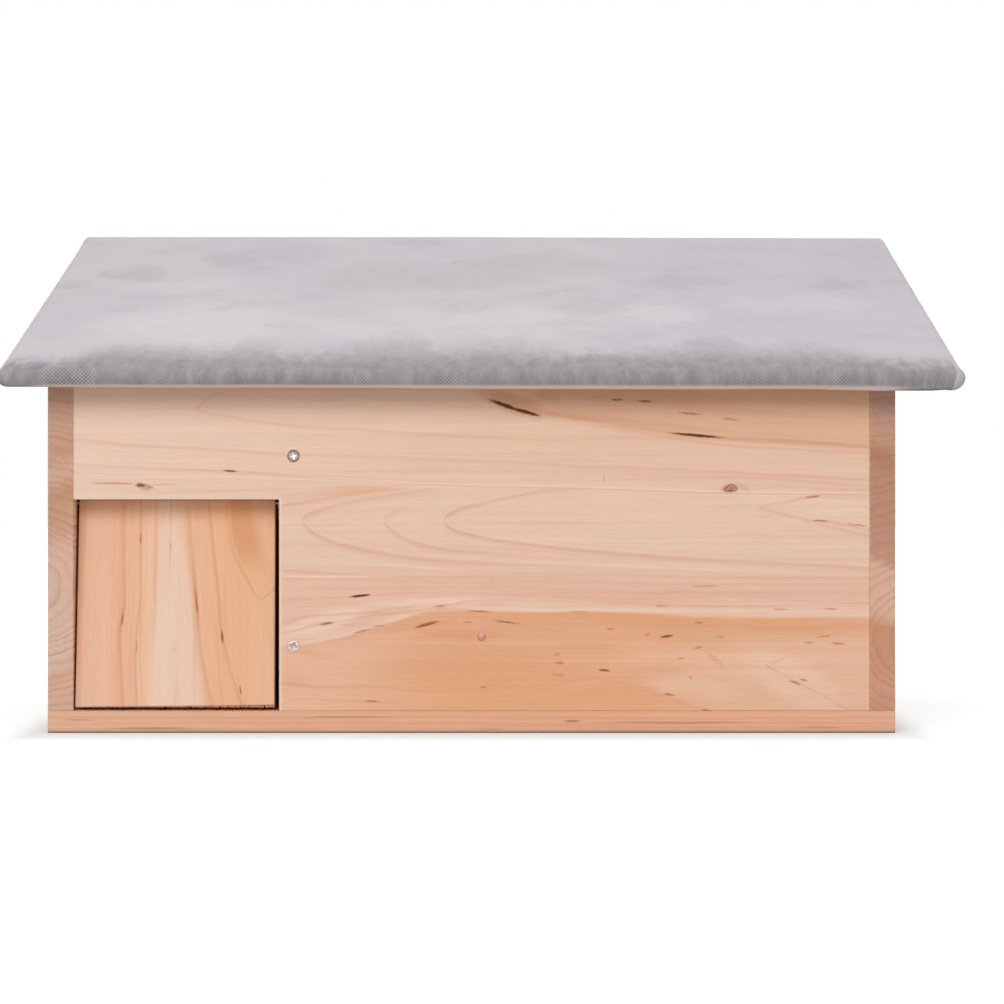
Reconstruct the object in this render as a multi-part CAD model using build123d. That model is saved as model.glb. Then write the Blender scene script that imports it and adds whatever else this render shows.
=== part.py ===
from build123d import *
import math
import os

os.makedirs("parts", exist_ok=True)

# Hedgehog house: a softwood box with a sloping, felt-covered, hinged lid, a swinging entrance flap
# and an inner partition that turns the way in through a right angle.
# Millimetres, +Z up, front facing -Y. The origin is the centre of the floor board's underside.

# Carcass
body_width = 498.0
body_depth = 358.0
floor_thickness = 13.0
side_thickness = 15.0
front_thickness = 15.0
back_thickness = 15.0
partition_thickness = 15.0
front_height = 195.5  # outer face of the front board, from the floor board to its top arris
roof_angle = 15.2  # degrees, rising from front to back
arris = 0.4  # broken edges of the sawn boards

# Entrance notch in the lower left corner of the front board
entrance_width = 120.9
entrance_height = 124.2

# Partition and the inner doorway at its back
partition_setback = 1.0  # from the notch's edge to the partition's near face
partition_roof_gap = 2.0
doorway_width = 128.0
doorway_height = 126.0
doorway_post = 12.0  # wood left between the doorway and the back board

# Lid, 560 x 420 over the felt: it sits 5 mm to the right of the box
lid_left_overhang = 26.0
lid_right_overhang = 36.0
lid_front_overhang = 24.4  # from the front board's face to the felt's front, along the slope
lid_rear_overhang = 24.6  # the same at the back
lid_board_thickness = 8.0
lid_edge_bevel = 2.2
lid_corner_radius = 6.0
lid_seat_gap = 0.3
felt_thickness = 1.2
felt_fit = 0.05
felt_hem = 16.0  # turned under at the front and at both sides

# Staples in the hem
staple_crown = 10.0
staple_wire = 0.9
staple_leg = 5.0
staple_hem_share = 0.62  # place of a staple across the hem
front_staple_shares = (0.06, 0.22, 0.41, 0.58, 0.79, 0.94)
side_staple_shares = (0.12, 0.36, 0.63, 0.88)
rear_staple_shares = (0.05, 0.34, 0.50, 0.66, 0.95)

# Entrance flap
flap_thickness = 12.0
flap_top_lap = 4.0  # its round head stands up behind the front board by this much
flap_back_gap = 0.7  # between that head and the front board's back
flap_foot_setback = 0.8  # foot of the flap behind the front board's face, so it hangs with a lean
flap_floor_gap = 0.4
flap_floor_gap_rise = 1.3  # the foot is sawn out of square and rises to the right
flap_left_gap = 1.6
flap_right_gap = 3.4
flap_side_flare = 0.55  # each side runs out by this much towards the foot

# Pivot nails of the flap
nail_diameter = 3.0
nail_head_diameter = 6.4
nail_head_thickness = 1.1
nail_running_gap = 0.06
nail_grip = 20.0  # length of the nail inside the flap
nail_end_gap = 0.6

# Small pin in the front board
pin_diameter = 2.0
pin_head_diameter = 5.0
pin_head_thickness = 0.8
pin_length = 11.0
pin_across_share = 0.512  # of the body's width, from the left
pin_up_share = 0.222  # of the front board's height

# Wood screws, countersunk at 90 degrees, their small rounds cut to flats
screw_head_diameter = 7.4
screw_shank_diameter = 3.6
screw_length = 40.0
screw_rim = 0.25
screw_sink = 0.2
screw_hole_gap = 0.05
head_side_count = 12
shank_side_count = 6
cross_span_share = 0.60  # driver recess, as shares of the head's diameter
cross_width_share = 0.15
cross_depth_share = 0.22
front_screw_shares = (0.194, 0.766)  # of the front board's height
back_screw_shares = (0.22, 0.78)
side_front_screw_shares = (0.24, 0.76)
side_back_screw_shares = (0.16, 0.82)
floor_side_screw_shares = (0.14, 0.86)
floor_cross_screw_share = 0.5
floor_partition_screw_shares = (0.18, 0.52)

# Butt hinges at the back
hinge_length = 50.0
hinge_leaf_width = 18.0
hinge_leaf_thickness = 1.2
hinge_pin_diameter = 3.0
hinge_pin_gap = 0.06
hinge_knuckle_count = 3
hinge_knuckle_gap = 0.3
hinge_place_shares = (0.20, 0.80)  # of the body's width
hinge_screw_shares = (0.20, 0.80)
hinge_screw_row_share = 0.62  # of the leaf's width, from the barrel
hinge_screw_head_diameter = 5.4
hinge_screw_shank_diameter = 2.6
hinge_screw_length = 6.6
hinge_back_screw_length = 12.0

overrun = 4.0  # cutting tools run past the faces by this much

# Worked out from the sizes above
slope = math.radians(roof_angle)
half_width = body_width / 2
half_depth = body_depth / 2
front_face = -half_depth
back_face = half_depth
inner_left = -half_width + side_thickness
inner_right = half_width - side_thickness
inner_front = front_face + front_thickness
inner_back = back_face - back_thickness
wall_top_at_front = floor_thickness + front_height
lid_seat_at_front = wall_top_at_front + lid_seat_gap / math.cos(slope)
entrance_right = inner_left + entrance_width
entrance_top = floor_thickness + entrance_height
partition_left = entrance_right + partition_setback
partition_right = partition_left + partition_thickness
partition_middle = (partition_left + partition_right) / 2
flap_radius = flap_thickness / 2
pivot_height = entrance_top + flap_top_lap - flap_radius
flap_reach = pivot_height - floor_thickness - flap_floor_gap
pivot_depth = inner_front + flap_back_gap + flap_radius
foot_lead = pivot_depth - front_face - flap_foot_setback
lean = math.asin(foot_lead / math.hypot(flap_reach, flap_radius)) - math.atan2(flap_radius, flap_reach)
barrel_radius = hinge_pin_diameter / 2 + hinge_pin_gap + hinge_leaf_thickness
hinge_axis_y = back_face + barrel_radius


def wall_top(y):
    """Height of the sloping top edge of the walls at depth y."""
    return wall_top_at_front + (y - front_face) * math.tan(slope)


hinge_axis_z = (lid_seat_at_front + (hinge_axis_y - front_face) * math.tan(slope)
                - barrel_radius / math.cos(slope))


def save(shape, name):
    shape.label = name
    export_step(shape, f"parts/{name}.step")


def group(solids):
    return Compound(children=list(solids))


def block(x0, x1, y0, y1, z0, z1):
    """Box between two corners."""
    return Pos(x0, y0, z0) * Box(x1 - x0, y1 - y0, z1 - z0, align=(Align.MIN,) * 3)


def extrude_across(points, x0, x1):
    """Side profile, given as (y, z) points, carried from x0 to x1."""
    face = make_face(Polyline(*[(0, y, z) for y, z in points], close=True).edges())
    return Pos(x0, 0, 0) * extrude(face, amount=x1 - x0, dir=(1, 0, 0))


def wall(x0, x1, y0, y1, roof_gap=0):
    """Upright board on the floor board, with its top sawn to the slope of the lid."""
    drop = roof_gap / math.cos(slope)
    outline = [
        (y0, floor_thickness),
        (y1, floor_thickness),
        (y1, wall_top(y1) - drop),
        (y0, wall_top(y0) - drop),
    ]
    return extrude_across(outline, x0, x1)


def ease(board):
    """Board with its long arrises broken."""
    return chamfer(board.edges(), arris)


def at_share(low, high, share):
    return low + (high - low) * share


def cross_recess(head_diameter):
    """Driver recess, sunk from z = 0 downwards."""
    span = head_diameter * cross_span_share
    width = head_diameter * cross_width_share
    depth = head_diameter * cross_depth_share
    arm = Box(span, width, depth, align=(Align.CENTER, Align.CENTER, Align.MAX))
    return arm + Rot(0, 0, 90) * arm


def prism(radius, flats, z0, z1):
    return Pos(0, 0, z0) * extrude(RegularPolygon(radius, flats), amount=z1 - z0)


def countersunk(head_diameter, shank_diameter, length, gap, rise):
    """Countersunk body along -Z with its head's rim at z = 0, grown by gap and carried up by rise."""
    head = head_diameter / 2 + gap
    shank = shank_diameter / 2 + gap
    cone = (head - shank) * math.cos(math.pi / head_side_count)
    neck = -(screw_rim + cone + gap)
    body = prism(head, head_side_count, neck, rise)
    body = chamfer(body.faces().sort_by(Axis.Z)[0].edges(), cone)
    return body + prism(shank, shank_side_count, -length - gap, neck)


def drive(places, head_diameter, shank_diameter, length, sink):
    """Screws and the bores that they sit in, for places given as locations whose +Z leaves the wood."""
    screw = countersunk(head_diameter, shank_diameter, length, 0, 0) - cross_recess(head_diameter)
    bore = countersunk(head_diameter, shank_diameter, length, screw_hole_gap, sink + overrun)
    sunk = Pos(0, 0, -sink)
    return [place * (sunk * screw) for place in places], [place * (sunk * bore) for place in places]


def carcass_screws(places):
    return drive(places, screw_head_diameter, screw_shank_diameter, screw_length, screw_sink)


def cut(board, bores):
    for bore in bores:
        board = board - bore
    return board


# Places of the carcass screws: each location's +Z points out of the wood
face_front = Rot(90, 0, 0)
face_back = Rot(-90, 0, 0)
face_left = Rot(0, -90, 0)
face_right = Rot(0, 90, 0)
face_under = Rot(180, 0, 0)


def front_screw_places():
    heights = [floor_thickness + front_height * share for share in front_screw_shares]
    return [Pos(partition_middle, front_face, z) * face_front for z in heights]


def back_screw_places():
    middle_of_back = inner_back + back_thickness / 2
    low = floor_thickness + doorway_height
    high = wall_top(middle_of_back)
    heights = [at_share(low, high, share) for share in back_screw_shares]
    return [Pos(partition_middle, back_face, z) * face_back for z in heights]


def side_screw_places():
    front_line = front_face + front_thickness / 2
    back_line = back_face - back_thickness / 2
    places = []
    left_heights = [at_share(entrance_top, wall_top(front_line), share) for share in side_front_screw_shares]
    right_heights = [at_share(floor_thickness, wall_top(front_line), share)
                     for share in side_front_screw_shares]
    back_heights = [at_share(floor_thickness, wall_top(back_line), share) for share in side_back_screw_shares]
    places += [Pos(-half_width, front_line, z) * face_left for z in left_heights]
    places += [Pos(half_width, front_line, z) * face_right for z in right_heights]
    places += [Pos(-half_width, back_line, z) * face_left for z in back_heights]
    places += [Pos(half_width, back_line, z) * face_right for z in back_heights]
    return places


def floor_screw_places():
    left_line = -half_width + side_thickness / 2
    right_line = half_width - side_thickness / 2
    front_line = front_face + front_thickness / 2
    back_line = back_face - back_thickness / 2
    places = []
    for share in floor_side_screw_shares:
        y = at_share(front_face, back_face, share)
        places += [Pos(left_line, y, 0) * face_under, Pos(right_line, y, 0) * face_under]
    share = floor_cross_screw_share
    places.append(Pos(at_share(partition_right, inner_right, share), front_line, 0) * face_under)
    places.append(Pos(at_share(inner_left, inner_right, share), back_line, 0) * face_under)
    for share in floor_partition_screw_shares:
        places.append(Pos(partition_middle, at_share(inner_front, inner_back, share), 0) * face_under)
    return places


# Butt hinge, worked out on its own axis along X and then set at the back
def hinge_centres():
    return [at_share(-half_width, half_width, share) for share in hinge_place_shares]


def knuckle_spans(moving):
    """Lengths of barrel that belong to one leaf, from the hinge's left end."""
    pitch = hinge_length / hinge_knuckle_count
    spans = []
    for index in range(hinge_knuckle_count):
        if (index % 2 == 1) == moving:
            left = -hinge_length / 2 + index * pitch
            spans.append((left + hinge_knuckle_gap / 2, left + pitch - hinge_knuckle_gap / 2))
    return spans


def hinge_leaf(moving):
    """Leaf lying along +Y from the barrel, its wood side on the plane z = barrel radius."""
    inner = barrel_radius - hinge_leaf_thickness
    leaf = block(-hinge_length / 2, hinge_length / 2, 0, hinge_leaf_width, inner, barrel_radius)
    along = Rot(0, 90, 0)
    for x0, x1 in knuckle_spans(not moving):
        reach = x1 - x0 + 2 * hinge_knuckle_gap
        clearance = Cylinder(barrel_radius + hinge_knuckle_gap, reach)
        leaf = leaf - Pos((x0 + x1) / 2, 0, 0) * along * clearance
    for x0, x1 in knuckle_spans(moving):
        leaf = leaf + Pos((x0 + x1) / 2, 0, 0) * along * Cylinder(barrel_radius, x1 - x0)
    gap = hinge_pin_gap if moving else 0
    leaf = leaf - along * Cylinder(hinge_pin_diameter / 2 + gap, hinge_length + overrun)
    return cut(leaf, leaf_screws(hinge_back_screw_length)[1])


def leaf_screws(length):
    """Screws of one leaf, driven towards +Z from its open side."""
    inner = barrel_radius - hinge_leaf_thickness
    y = hinge_leaf_width * hinge_screw_row_share
    places = []
    for share in hinge_screw_shares:
        x = at_share(-hinge_length / 2, hinge_length / 2, share)
        places.append(Pos(x, y, inner) * Rot(180, 0, 0))
    return drive(places, hinge_screw_head_diameter, hinge_screw_shank_diameter, length, 0)


def hinge_pin():
    return Rot(0, 90, 0) * Cylinder(hinge_pin_diameter / 2, hinge_length)


def on_lid(x):
    """Place of the lid's leaf at x along the hinge line."""
    return Pos(x, hinge_axis_y, hinge_axis_z) * Rot(roof_angle, 0, 0)


def on_back(x):
    """Place of the back board's leaf at x: turned over, so that its wood side meets the board."""
    return Pos(x, hinge_axis_y, hinge_axis_z) * Rot(-90, 0, 0) * Rot(0, 180, 0)


def hinge_screws(place, length):
    screws = []
    bores = []
    for x in hinge_centres():
        driven, holes = leaf_screws(length)
        screws += [place(x) * body for body in driven]
        bores += [place(x) * body for body in holes]
    return screws, bores


# Lid, worked out flat and then tilted: y runs up the slope from the front board's face,
# z = 0 is the underside of the lid board
lid_place = Pos(0, front_face, lid_seat_at_front) * Rot(roof_angle, 0, 0)
lid_left = -half_width - lid_left_overhang
lid_right = half_width + lid_right_overhang
lid_front = -lid_front_overhang
lid_rear = body_depth / math.cos(slope) + lid_rear_overhang


def slab(grow):
    """The lid board's own form, with bevelled rims, grown outwards on every side."""
    x0 = lid_left + felt_thickness - grow
    x1 = lid_right - felt_thickness + grow
    y0 = lid_front + felt_thickness - grow
    y1 = lid_rear - felt_thickness + grow
    shape = block(x0, x1, y0, y1, -grow, lid_board_thickness + grow)
    shape = fillet(shape.edges().filter_by(Axis.Z), lid_corner_radius + grow)
    rims = shape.faces().sort_by(Axis.Z)[0].edges() + shape.faces().sort_by(Axis.Z)[-1].edges()
    return chamfer(rims, lid_edge_bevel + grow * (2 - math.sqrt(2)))


def lid_board():
    return lid_place * slab(0)


def roof_felt():
    """Felt drawn over the lid board and turned under along the front and the sides."""
    outer = slab(felt_thickness)
    inner = slab(felt_fit)
    window = block(lid_left + felt_hem, lid_right - felt_hem, lid_front + felt_hem, lid_rear + overrun,
                   -felt_thickness - overrun, 0)
    strip = block(lid_left - overrun, lid_right + overrun, lid_rear - felt_hem, lid_rear + overrun,
                  -felt_thickness - overrun, 0)
    return lid_place * (outer - inner - window - strip)


def staple():
    """Crown on z = 0 and two legs that go up into the wood."""
    crown = Box(staple_crown, staple_wire, staple_wire, align=(Align.CENTER, Align.CENTER, Align.MAX))
    shape = crown
    for side in (-1, 1):
        leg = Box(staple_wire, staple_wire, staple_leg, align=(Align.CENTER, Align.CENTER, Align.MIN))
        shape = shape + Pos(side * (staple_crown - staple_wire) / 2, 0, 0) * leg
    return shape


def felt_staples():
    row = felt_hem * staple_hem_share
    under = -felt_thickness
    shapes = []
    for share in front_staple_shares:
        x = at_share(lid_left + felt_hem, lid_right - felt_hem, share)
        shapes.append(Pos(x, lid_front + row, under) * staple())
    for share in side_staple_shares:
        y = at_share(lid_front + felt_hem, lid_rear - felt_hem, share)
        for x in (lid_left + row, lid_right - row):
            shapes.append(Pos(x, y, under) * Rot(0, 0, 90) * staple())
    for share in rear_staple_shares:
        x = at_share(lid_left + felt_hem, lid_right - felt_hem, share)
        shapes.append(Pos(x, lid_rear, lid_board_thickness / 2) * Rot(90, 0, 0) * staple())
    return [lid_place * shape for shape in shapes]


# Entrance flap, worked out plumb on its pivot and then leaned
flap_place = Pos(0, pivot_depth, pivot_height) * Rot(-math.degrees(lean), 0, 0)
flap_left = inner_left + flap_left_gap
flap_right = entrance_right - flap_right_gap


def entrance_flap():
    """Upright board with a half-round head about its pivot and two bores for the nails."""
    foot = -flap_reach
    outline = [
        (flap_left, flap_radius),
        (flap_right, flap_radius),
        (flap_right + flap_side_flare, foot + flap_floor_gap_rise),
        (flap_left - flap_side_flare, foot),
    ]
    face = make_face(Polyline(*[(x, 0, z) for x, z in outline], close=True).edges())
    board = extrude(face, amount=flap_radius, dir=(0, 1, 0), both=True)
    board = chamfer(board.edges().filter_by(lambda edge: edge.center().Z < 0), arris)
    margin = flap_radius + overrun
    upper = block(flap_left - margin, flap_right + margin, -margin, margin, 0, margin)
    head = Rot(0, 90, 0) * Cylinder(flap_radius, body_width)
    board = board - (upper - head)
    for x, side in ((flap_left, 1), (flap_right, -1)):
        depth = nail_grip + nail_end_gap
        bore = Cylinder(nail_diameter / 2 + nail_running_gap, depth + overrun)
        board = board - Pos(x + side * (depth - overrun) / 2, 0, 0) * Rot(0, 90, 0) * bore
    return flap_place * board


def pivot_nail(head_face, inside_face, flap_face):
    """Nail along X: its head seats on head_face, and its point ends inside the flap."""
    side = 1 if flap_face > head_face else -1
    tip = flap_face + side * nail_grip
    length = abs(tip - head_face)
    along = Rot(0, 90, 0)
    shank = Pos((head_face + tip) / 2, 0, 0) * along * Cylinder(nail_diameter / 2, length)
    head = Pos(head_face - side * nail_head_thickness / 2, 0, 0) * along * Cylinder(
        nail_head_diameter / 2, nail_head_thickness)
    bore = Pos((head_face + inside_face) / 2, 0, 0) * along * Cylinder(
        nail_diameter / 2, abs(inside_face - head_face) + overrun)
    place = Pos(0, pivot_depth, pivot_height)
    return place * (shank + head), place * bore


def front_pin():
    """Small round-headed pin in the front board."""
    place = Pos(at_share(-half_width, half_width, pin_across_share), front_face,
                floor_thickness + front_height * pin_up_share) * face_front
    shank = prism(pin_diameter / 2, shank_side_count, -pin_length, 0)
    head = prism(pin_head_diameter / 2, head_side_count, 0, pin_head_thickness)
    head = chamfer(head.faces().sort_by(Axis.Z)[-1].edges(), pin_head_thickness / 2)
    return place * (shank + head), place * shank


def floor_board():
    return ease(block(-half_width, half_width, front_face, back_face, 0, floor_thickness))


def side_panel(x0, x1):
    return ease(wall(x0, x1, front_face, back_face))


def front_panel():
    board = wall(inner_left, inner_right, front_face, inner_front)
    board = board - block(inner_left - overrun, entrance_right, front_face - overrun, inner_front + overrun,
                          floor_thickness - overrun, entrance_top)
    return ease(board)


def back_panel():
    return ease(wall(inner_left, inner_right, inner_back, back_face))


def partition():
    board = wall(partition_left, partition_right, inner_front, inner_back, partition_roof_gap)
    far = inner_back - doorway_post
    board = board - block(partition_left - overrun, partition_right + overrun, far - doorway_width, far,
                          floor_thickness - overrun, floor_thickness + doorway_height)
    return ease(board)


# Fasteners and their bores
front_screws, front_bores = carcass_screws(front_screw_places())
back_screws, back_bores = carcass_screws(back_screw_places())
side_screws, side_bores = carcass_screws(side_screw_places())
floor_screws, floor_bores = carcass_screws(floor_screw_places())
back_leaf_screws, back_leaf_bores = hinge_screws(on_back, hinge_back_screw_length)
lid_leaf_screws, lid_leaf_bores = hinge_screws(on_lid, hinge_screw_length)
left_nail, left_nail_bore = pivot_nail(-half_width, inner_left, flap_left)
right_nail, right_nail_bore = pivot_nail(partition_right, partition_left, flap_right)
pin, pin_bore = front_pin()

# Boards with the bores that reach them
save(cut(floor_board(), floor_bores), "floor_board")
save(cut(side_panel(-half_width, inner_left), side_bores + floor_bores + [left_nail_bore]),
     "left_side_panel")
save(cut(side_panel(inner_right, half_width), side_bores + floor_bores), "right_side_panel")
save(cut(front_panel(), front_bores + side_bores + floor_bores + [pin_bore]), "front_panel")
save(cut(back_panel(), back_bores + side_bores + floor_bores + back_leaf_bores), "back_panel")
save(cut(partition(), front_bores + back_bores + floor_bores + [right_nail_bore]), "partition")
save(entrance_flap(), "entrance_flap")
save(cut(lid_board(), lid_leaf_bores), "lid_board")
save(roof_felt(), "roof_felt")

# Fasteners, one node for each kind and place
save(group(front_screws), "front_screws")
save(group(back_screws), "back_screws")
save(group(side_screws), "side_screws")
save(group(floor_screws), "floor_screws")
save(left_nail, "flap_nail_left")
save(right_nail, "flap_nail_right")
save(pin, "front_pin")
save(group(felt_staples()), "felt_staples")

# Hinges
for label, x in zip(("left", "right"), hinge_centres()):
    save(on_back(x) * hinge_leaf(False), f"{label}_hinge_back_leaf")
    save(on_lid(x) * hinge_leaf(True), f"{label}_hinge_lid_leaf")
    save(Pos(x, hinge_axis_y, hinge_axis_z) * hinge_pin(), f"{label}_hinge_pin")
save(group(back_leaf_screws), "hinge_back_screws")
save(group(lid_leaf_screws), "hinge_lid_screws")

print("hinge axis y, z", round(hinge_axis_y, 3), round(hinge_axis_z, 3))
print("flap pivot y, z and lean", round(pivot_depth, 3), round(pivot_height, 3), round(math.degrees(lean), 2))
print("partition faces x", round(partition_left, 3), round(partition_right, 3))
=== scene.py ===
import math

import bmesh
import bpy
import numpy as np
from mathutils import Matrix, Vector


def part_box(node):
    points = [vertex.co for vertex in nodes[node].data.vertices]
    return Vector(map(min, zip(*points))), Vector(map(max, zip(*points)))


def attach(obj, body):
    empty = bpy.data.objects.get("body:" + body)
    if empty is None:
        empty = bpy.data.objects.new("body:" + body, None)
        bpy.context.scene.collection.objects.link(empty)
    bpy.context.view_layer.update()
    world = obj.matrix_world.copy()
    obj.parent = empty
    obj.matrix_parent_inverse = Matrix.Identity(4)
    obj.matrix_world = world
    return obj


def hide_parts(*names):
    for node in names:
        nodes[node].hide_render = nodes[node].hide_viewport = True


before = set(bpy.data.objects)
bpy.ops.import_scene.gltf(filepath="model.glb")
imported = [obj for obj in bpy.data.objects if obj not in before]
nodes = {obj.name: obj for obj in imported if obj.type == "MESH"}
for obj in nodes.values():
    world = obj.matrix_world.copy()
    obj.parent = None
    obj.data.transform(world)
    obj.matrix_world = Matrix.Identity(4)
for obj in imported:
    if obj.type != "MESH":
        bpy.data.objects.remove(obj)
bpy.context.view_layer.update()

print("frame loaded:", len(nodes), "nodes")

# All places are in millimetres until a mesh is filled, and written colours run from 0 to 255 a channel
house = {"front": -179.0, "halfWidth": 249.0, "sideThickness": 15.0}
# The lid's own frame: x as the house's, y up the slope, z off the lid board's underside
lidPlace = {"front": (0.0, -179.0, 208.81), "slope": 15.2}
slopeSin, slopeCos = math.sin(math.radians(lidPlace["slope"])), math.cos(math.radians(lidPlace["slope"]))


# Shader tools

def tone(r, g, b):
    # a written colour as linear light
    part = [c / 255 for c in (r, g, b)]
    return tuple(c / 12.92 if c < 0.04045 else ((c + 0.055) / 1.055) ** 2.4 for c in part) + (1.0,)


class Field:
    # one socket of a material; arithmetic on fields adds Math nodes
    def __init__(self, tree, socket=None):
        self.tree = tree
        self.socket = socket

    def node(self, kind, settings=None, inputs=None, out=0):
        # any other node: its settings first, then the values or links of its sockets
        made = self.tree.nodes.new(kind)
        for name, value in (settings or {}).items():
            if name == "stops":
                ramp = made.color_ramp.elements
                while len(ramp) < len(value):
                    ramp.new(0.5)
                for stop, (place, colour) in zip(ramp, value):
                    stop.position = place
                    stop.color = colour
            elif name == "curve":
                made.mapping.use_clip = False
                made.mapping.extend = "HORIZONTAL"
                line = made.mapping.curves[0].points
                while len(line) < len(value):
                    line.new(0.5, 0.5)
                for point, place in zip(line, value):
                    point.location = place
                    point.handle_type = "AUTO_CLAMPED"
                made.mapping.update()
            else:
                setattr(made, name, value)
        for key, value in (inputs or {}).items():
            if isinstance(value, Field):
                self.tree.links.new(value.socket, made.inputs[key])
            else:
                made.inputs[key].default_value = value
        return Field(self.tree, made.outputs[out])

    def other(self, out):
        # another output of the same node
        return Field(self.tree, self.socket.node.outputs[out])

    def math(self, operation, *values):
        return self.node("ShaderNodeMath", {"operation": operation}, dict(enumerate(values)))

    def __add__(self, b):
        return self.math("ADD", self, b)

    def __sub__(self, b):
        return self.math("SUBTRACT", self, b)

    def __rsub__(self, b):
        return self.math("SUBTRACT", b, self)

    def __mul__(self, b):
        return self.math("MULTIPLY", self, b)

    def __truediv__(self, b):
        return self.math("DIVIDE", self, b)

    def __abs__(self):
        return self.math("ABSOLUTE", self)

    __radd__ = __add__
    __rmul__ = __mul__

    def sine(self):
        return self.math("SINE", self)

    def most(self, b):
        # the larger of this field and b
        return self.math("MAXIMUM", self, b)

    def line(self, steep, start):
        # this field times steep, plus start
        return self.math("MULTIPLY_ADD", self, steep, start)

    def ramp(self, low, high, first=0.0, last=1.0):
        # a smooth step from first, at low, to last, at high
        return self.node("ShaderNodeMapRange", {"interpolation_type": "SMOOTHSTEP"},
                         {0: self, 1: low, 2: high, 3: first, 4: last})

    def curve(self, points):
        # a smooth line through (input, output) points, level beyond its ends
        return self.node("ShaderNodeFloatCurve", {"curve": points}, {1: self})

    def tones(self, stops):
        # colours at places along this field, blended straight from one to the next
        low, high = stops[0][0], stops[-1][0]
        shares = [((place - low) / (high - low), colour) for place, colour in stops]
        span = self.line(1 / (high - low), -low / (high - low))
        return self.node("ShaderNodeValToRGB", {"stops": shares}, {0: span})

    def mix(self, a, b):
        # colour a where this field is 0, colour b where it is 1
        return self.node("ShaderNodeMix", {"data_type": "RGBA"}, {0: self, 6: a, 7: b}, 2)

    def shade(self, colour, factor):
        # the colour times a number or field
        return self.node("ShaderNodeVectorMath", {"operation": "SCALE"}, {0: colour, 3: factor})

    def place(self, x, y, z=0.0):
        return self.node("ShaderNodeCombineXYZ", {}, {0: x, 1: y, 2: z})

    def parts(self):
        # a vector's x, y and z
        split = self.node("ShaderNodeSeparateXYZ", {}, {0: self})
        return split, split.other(1), split.other(2)

    def length(self):
        # a vector's length
        return self.node("ShaderNodeVectorMath", {"operation": "LENGTH"}, {0: self}, 1)

    def attribute(self, name):
        # a number that the mesh holds at each point
        return self.node("ShaderNodeAttribute", {"attribute_name": name}, {}, 2)

    def cloud(self, x, y, z=0.0, detail=2.0, rough=0.5):
        # noise of about -1 to 1 whose blotches are one unit across
        made = self.node("ShaderNodeTexNoise", {"noise_dimensions": "3D"},
                         {"Vector": self.place(x, y, z), "Scale": 1.0, "Detail": detail, "Roughness": rough})
        return made.line(3.2, -1.6)


def newMaterial(name):
    # a material with its tree emptied to one Principled shader
    made = bpy.data.materials.new(name)
    made.use_nodes = True
    tree = made.node_tree
    tree.nodes.clear()
    shader = tree.nodes.new("ShaderNodeBsdfPrincipled")
    end = tree.nodes.new("ShaderNodeOutputMaterial")
    tree.links.new(shader.outputs[0], end.inputs[0])
    return made, Field(tree), shader


def finish(field, shader, colour, rough, height=None, depth=0.0003, metal=0.0):
    # joins colour, roughness and a bump to the shader; height is about 0 to 1, depth is in metres
    shader.inputs["Metallic"].default_value = metal
    shader.inputs["Specular IOR Level"].default_value = 0.5 if metal else 0.18
    for key, value in (("Base Color", colour), ("Roughness", rough)):
        if isinstance(value, Field):
            field.tree.links.new(value.socket, shader.inputs[key])
        else:
            shader.inputs[key].default_value = value
    if height is not None:
        bump = field.node("ShaderNodeBump", {}, {"Strength": 1.0, "Distance": depth, "Height": height})
        field.tree.links.new(bump.socket, shader.inputs["Normal"])


def millimetres(field):
    # the piece's own x, y and z in millimetres
    x, y, z = field.node("ShaderNodeTexCoord", {}, {}, "Object").parts()
    return x * 1000.0, y * 1000.0, z * 1000.0


def facing(field, axis):
    # 1 where the surface faces along the axis, 0, 1 or 2, either way
    return abs(field.node("ShaderNodeTexCoord", {}, {}, "Normal").parts()[axis]).ramp(0.6, 0.8)


# Wood: grain lines are drawn curves, flecks are tilted lens shapes, and hidden boards have rings round a pith

# Distance over a line's width, darkness: a soft flank below, a sharp one above, and faint echoes of the line
grainProfile = [(-9.0, 0.0), (-7.4, 0.16), (-6.4, 0.02), (-5.0, 0.22), (-4.1, 0.04), (-2.6, 0.16),
                (-1.2, 0.48), (-0.3, 1.0), (0.25, 0.9), (1.3, 0.06), (2.4, 0.0), (3.4, 0.2), (4.4, 0.0),
                (6.0, 0.0)]
# Share of a year ring, darkness: it darkens slowly outwards and ends sharply
yearProfile = [(0, 0.0), (0.3, 0.06), (0.62, 0.35), (0.88, 1.0), (0.96, 0.75), (1.0, 0.0)]
knotWood = {"heart": tone(156, 98, 64), "rim": tone(92, 54, 36)}


def grainLines(along, across, lines):
    # each line: its place across is a curve of the place along, and its strength is a second curve;
    # the distance from it, over its width, runs through the grain profile
    total = None
    for width, points in lines:
        off = across - along.curve([p[:2] for p in points])
        dark = off.curve([(p * width, q) for p, q in grainProfile])
        dark = dark * along.curve([(p[0], p[2]) for p in points])
        total = dark if total is None else total.most(dark)
    return total


def flecks(along, across, marks):
    # each mark: its offset is turned and divided by its half sizes, and the smoothed square of that
    # length leaves a lens shape
    total = None
    for x, z, half, breadth, tilt, strength in marks:
        c, s = math.cos(math.radians(tilt)), math.sin(math.radians(tilt))
        a = across.line(s / half, along.line(c / half, -(x * c + z * s) / half))
        b = across.line(c / breadth, along.line(-s / breadth, (x * s - z * c) / breadth))
        dark = a.line(a, b * b).ramp(1.5, 0.15, 0.0, strength)
        total = dark if total is None else total.most(dark)
    return total


def drawMarks(colour, along, across, seed, d):
    # dark flecks with rust round their middles, at places that a fine noise makes ragged
    ragged = along.cloud(along * 0.35, across * 0.9, seed, 2.0)
    dark = flecks(along + ragged * 0.7, across + ragged * 0.3, d["marks"])
    colour = (dark.ramp(0.0, 0.55) * 0.55).mix(colour, d["rust"])
    return (dark.ramp(0.42, 1.0) * 0.95).mix(colour, d["mark"])


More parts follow.
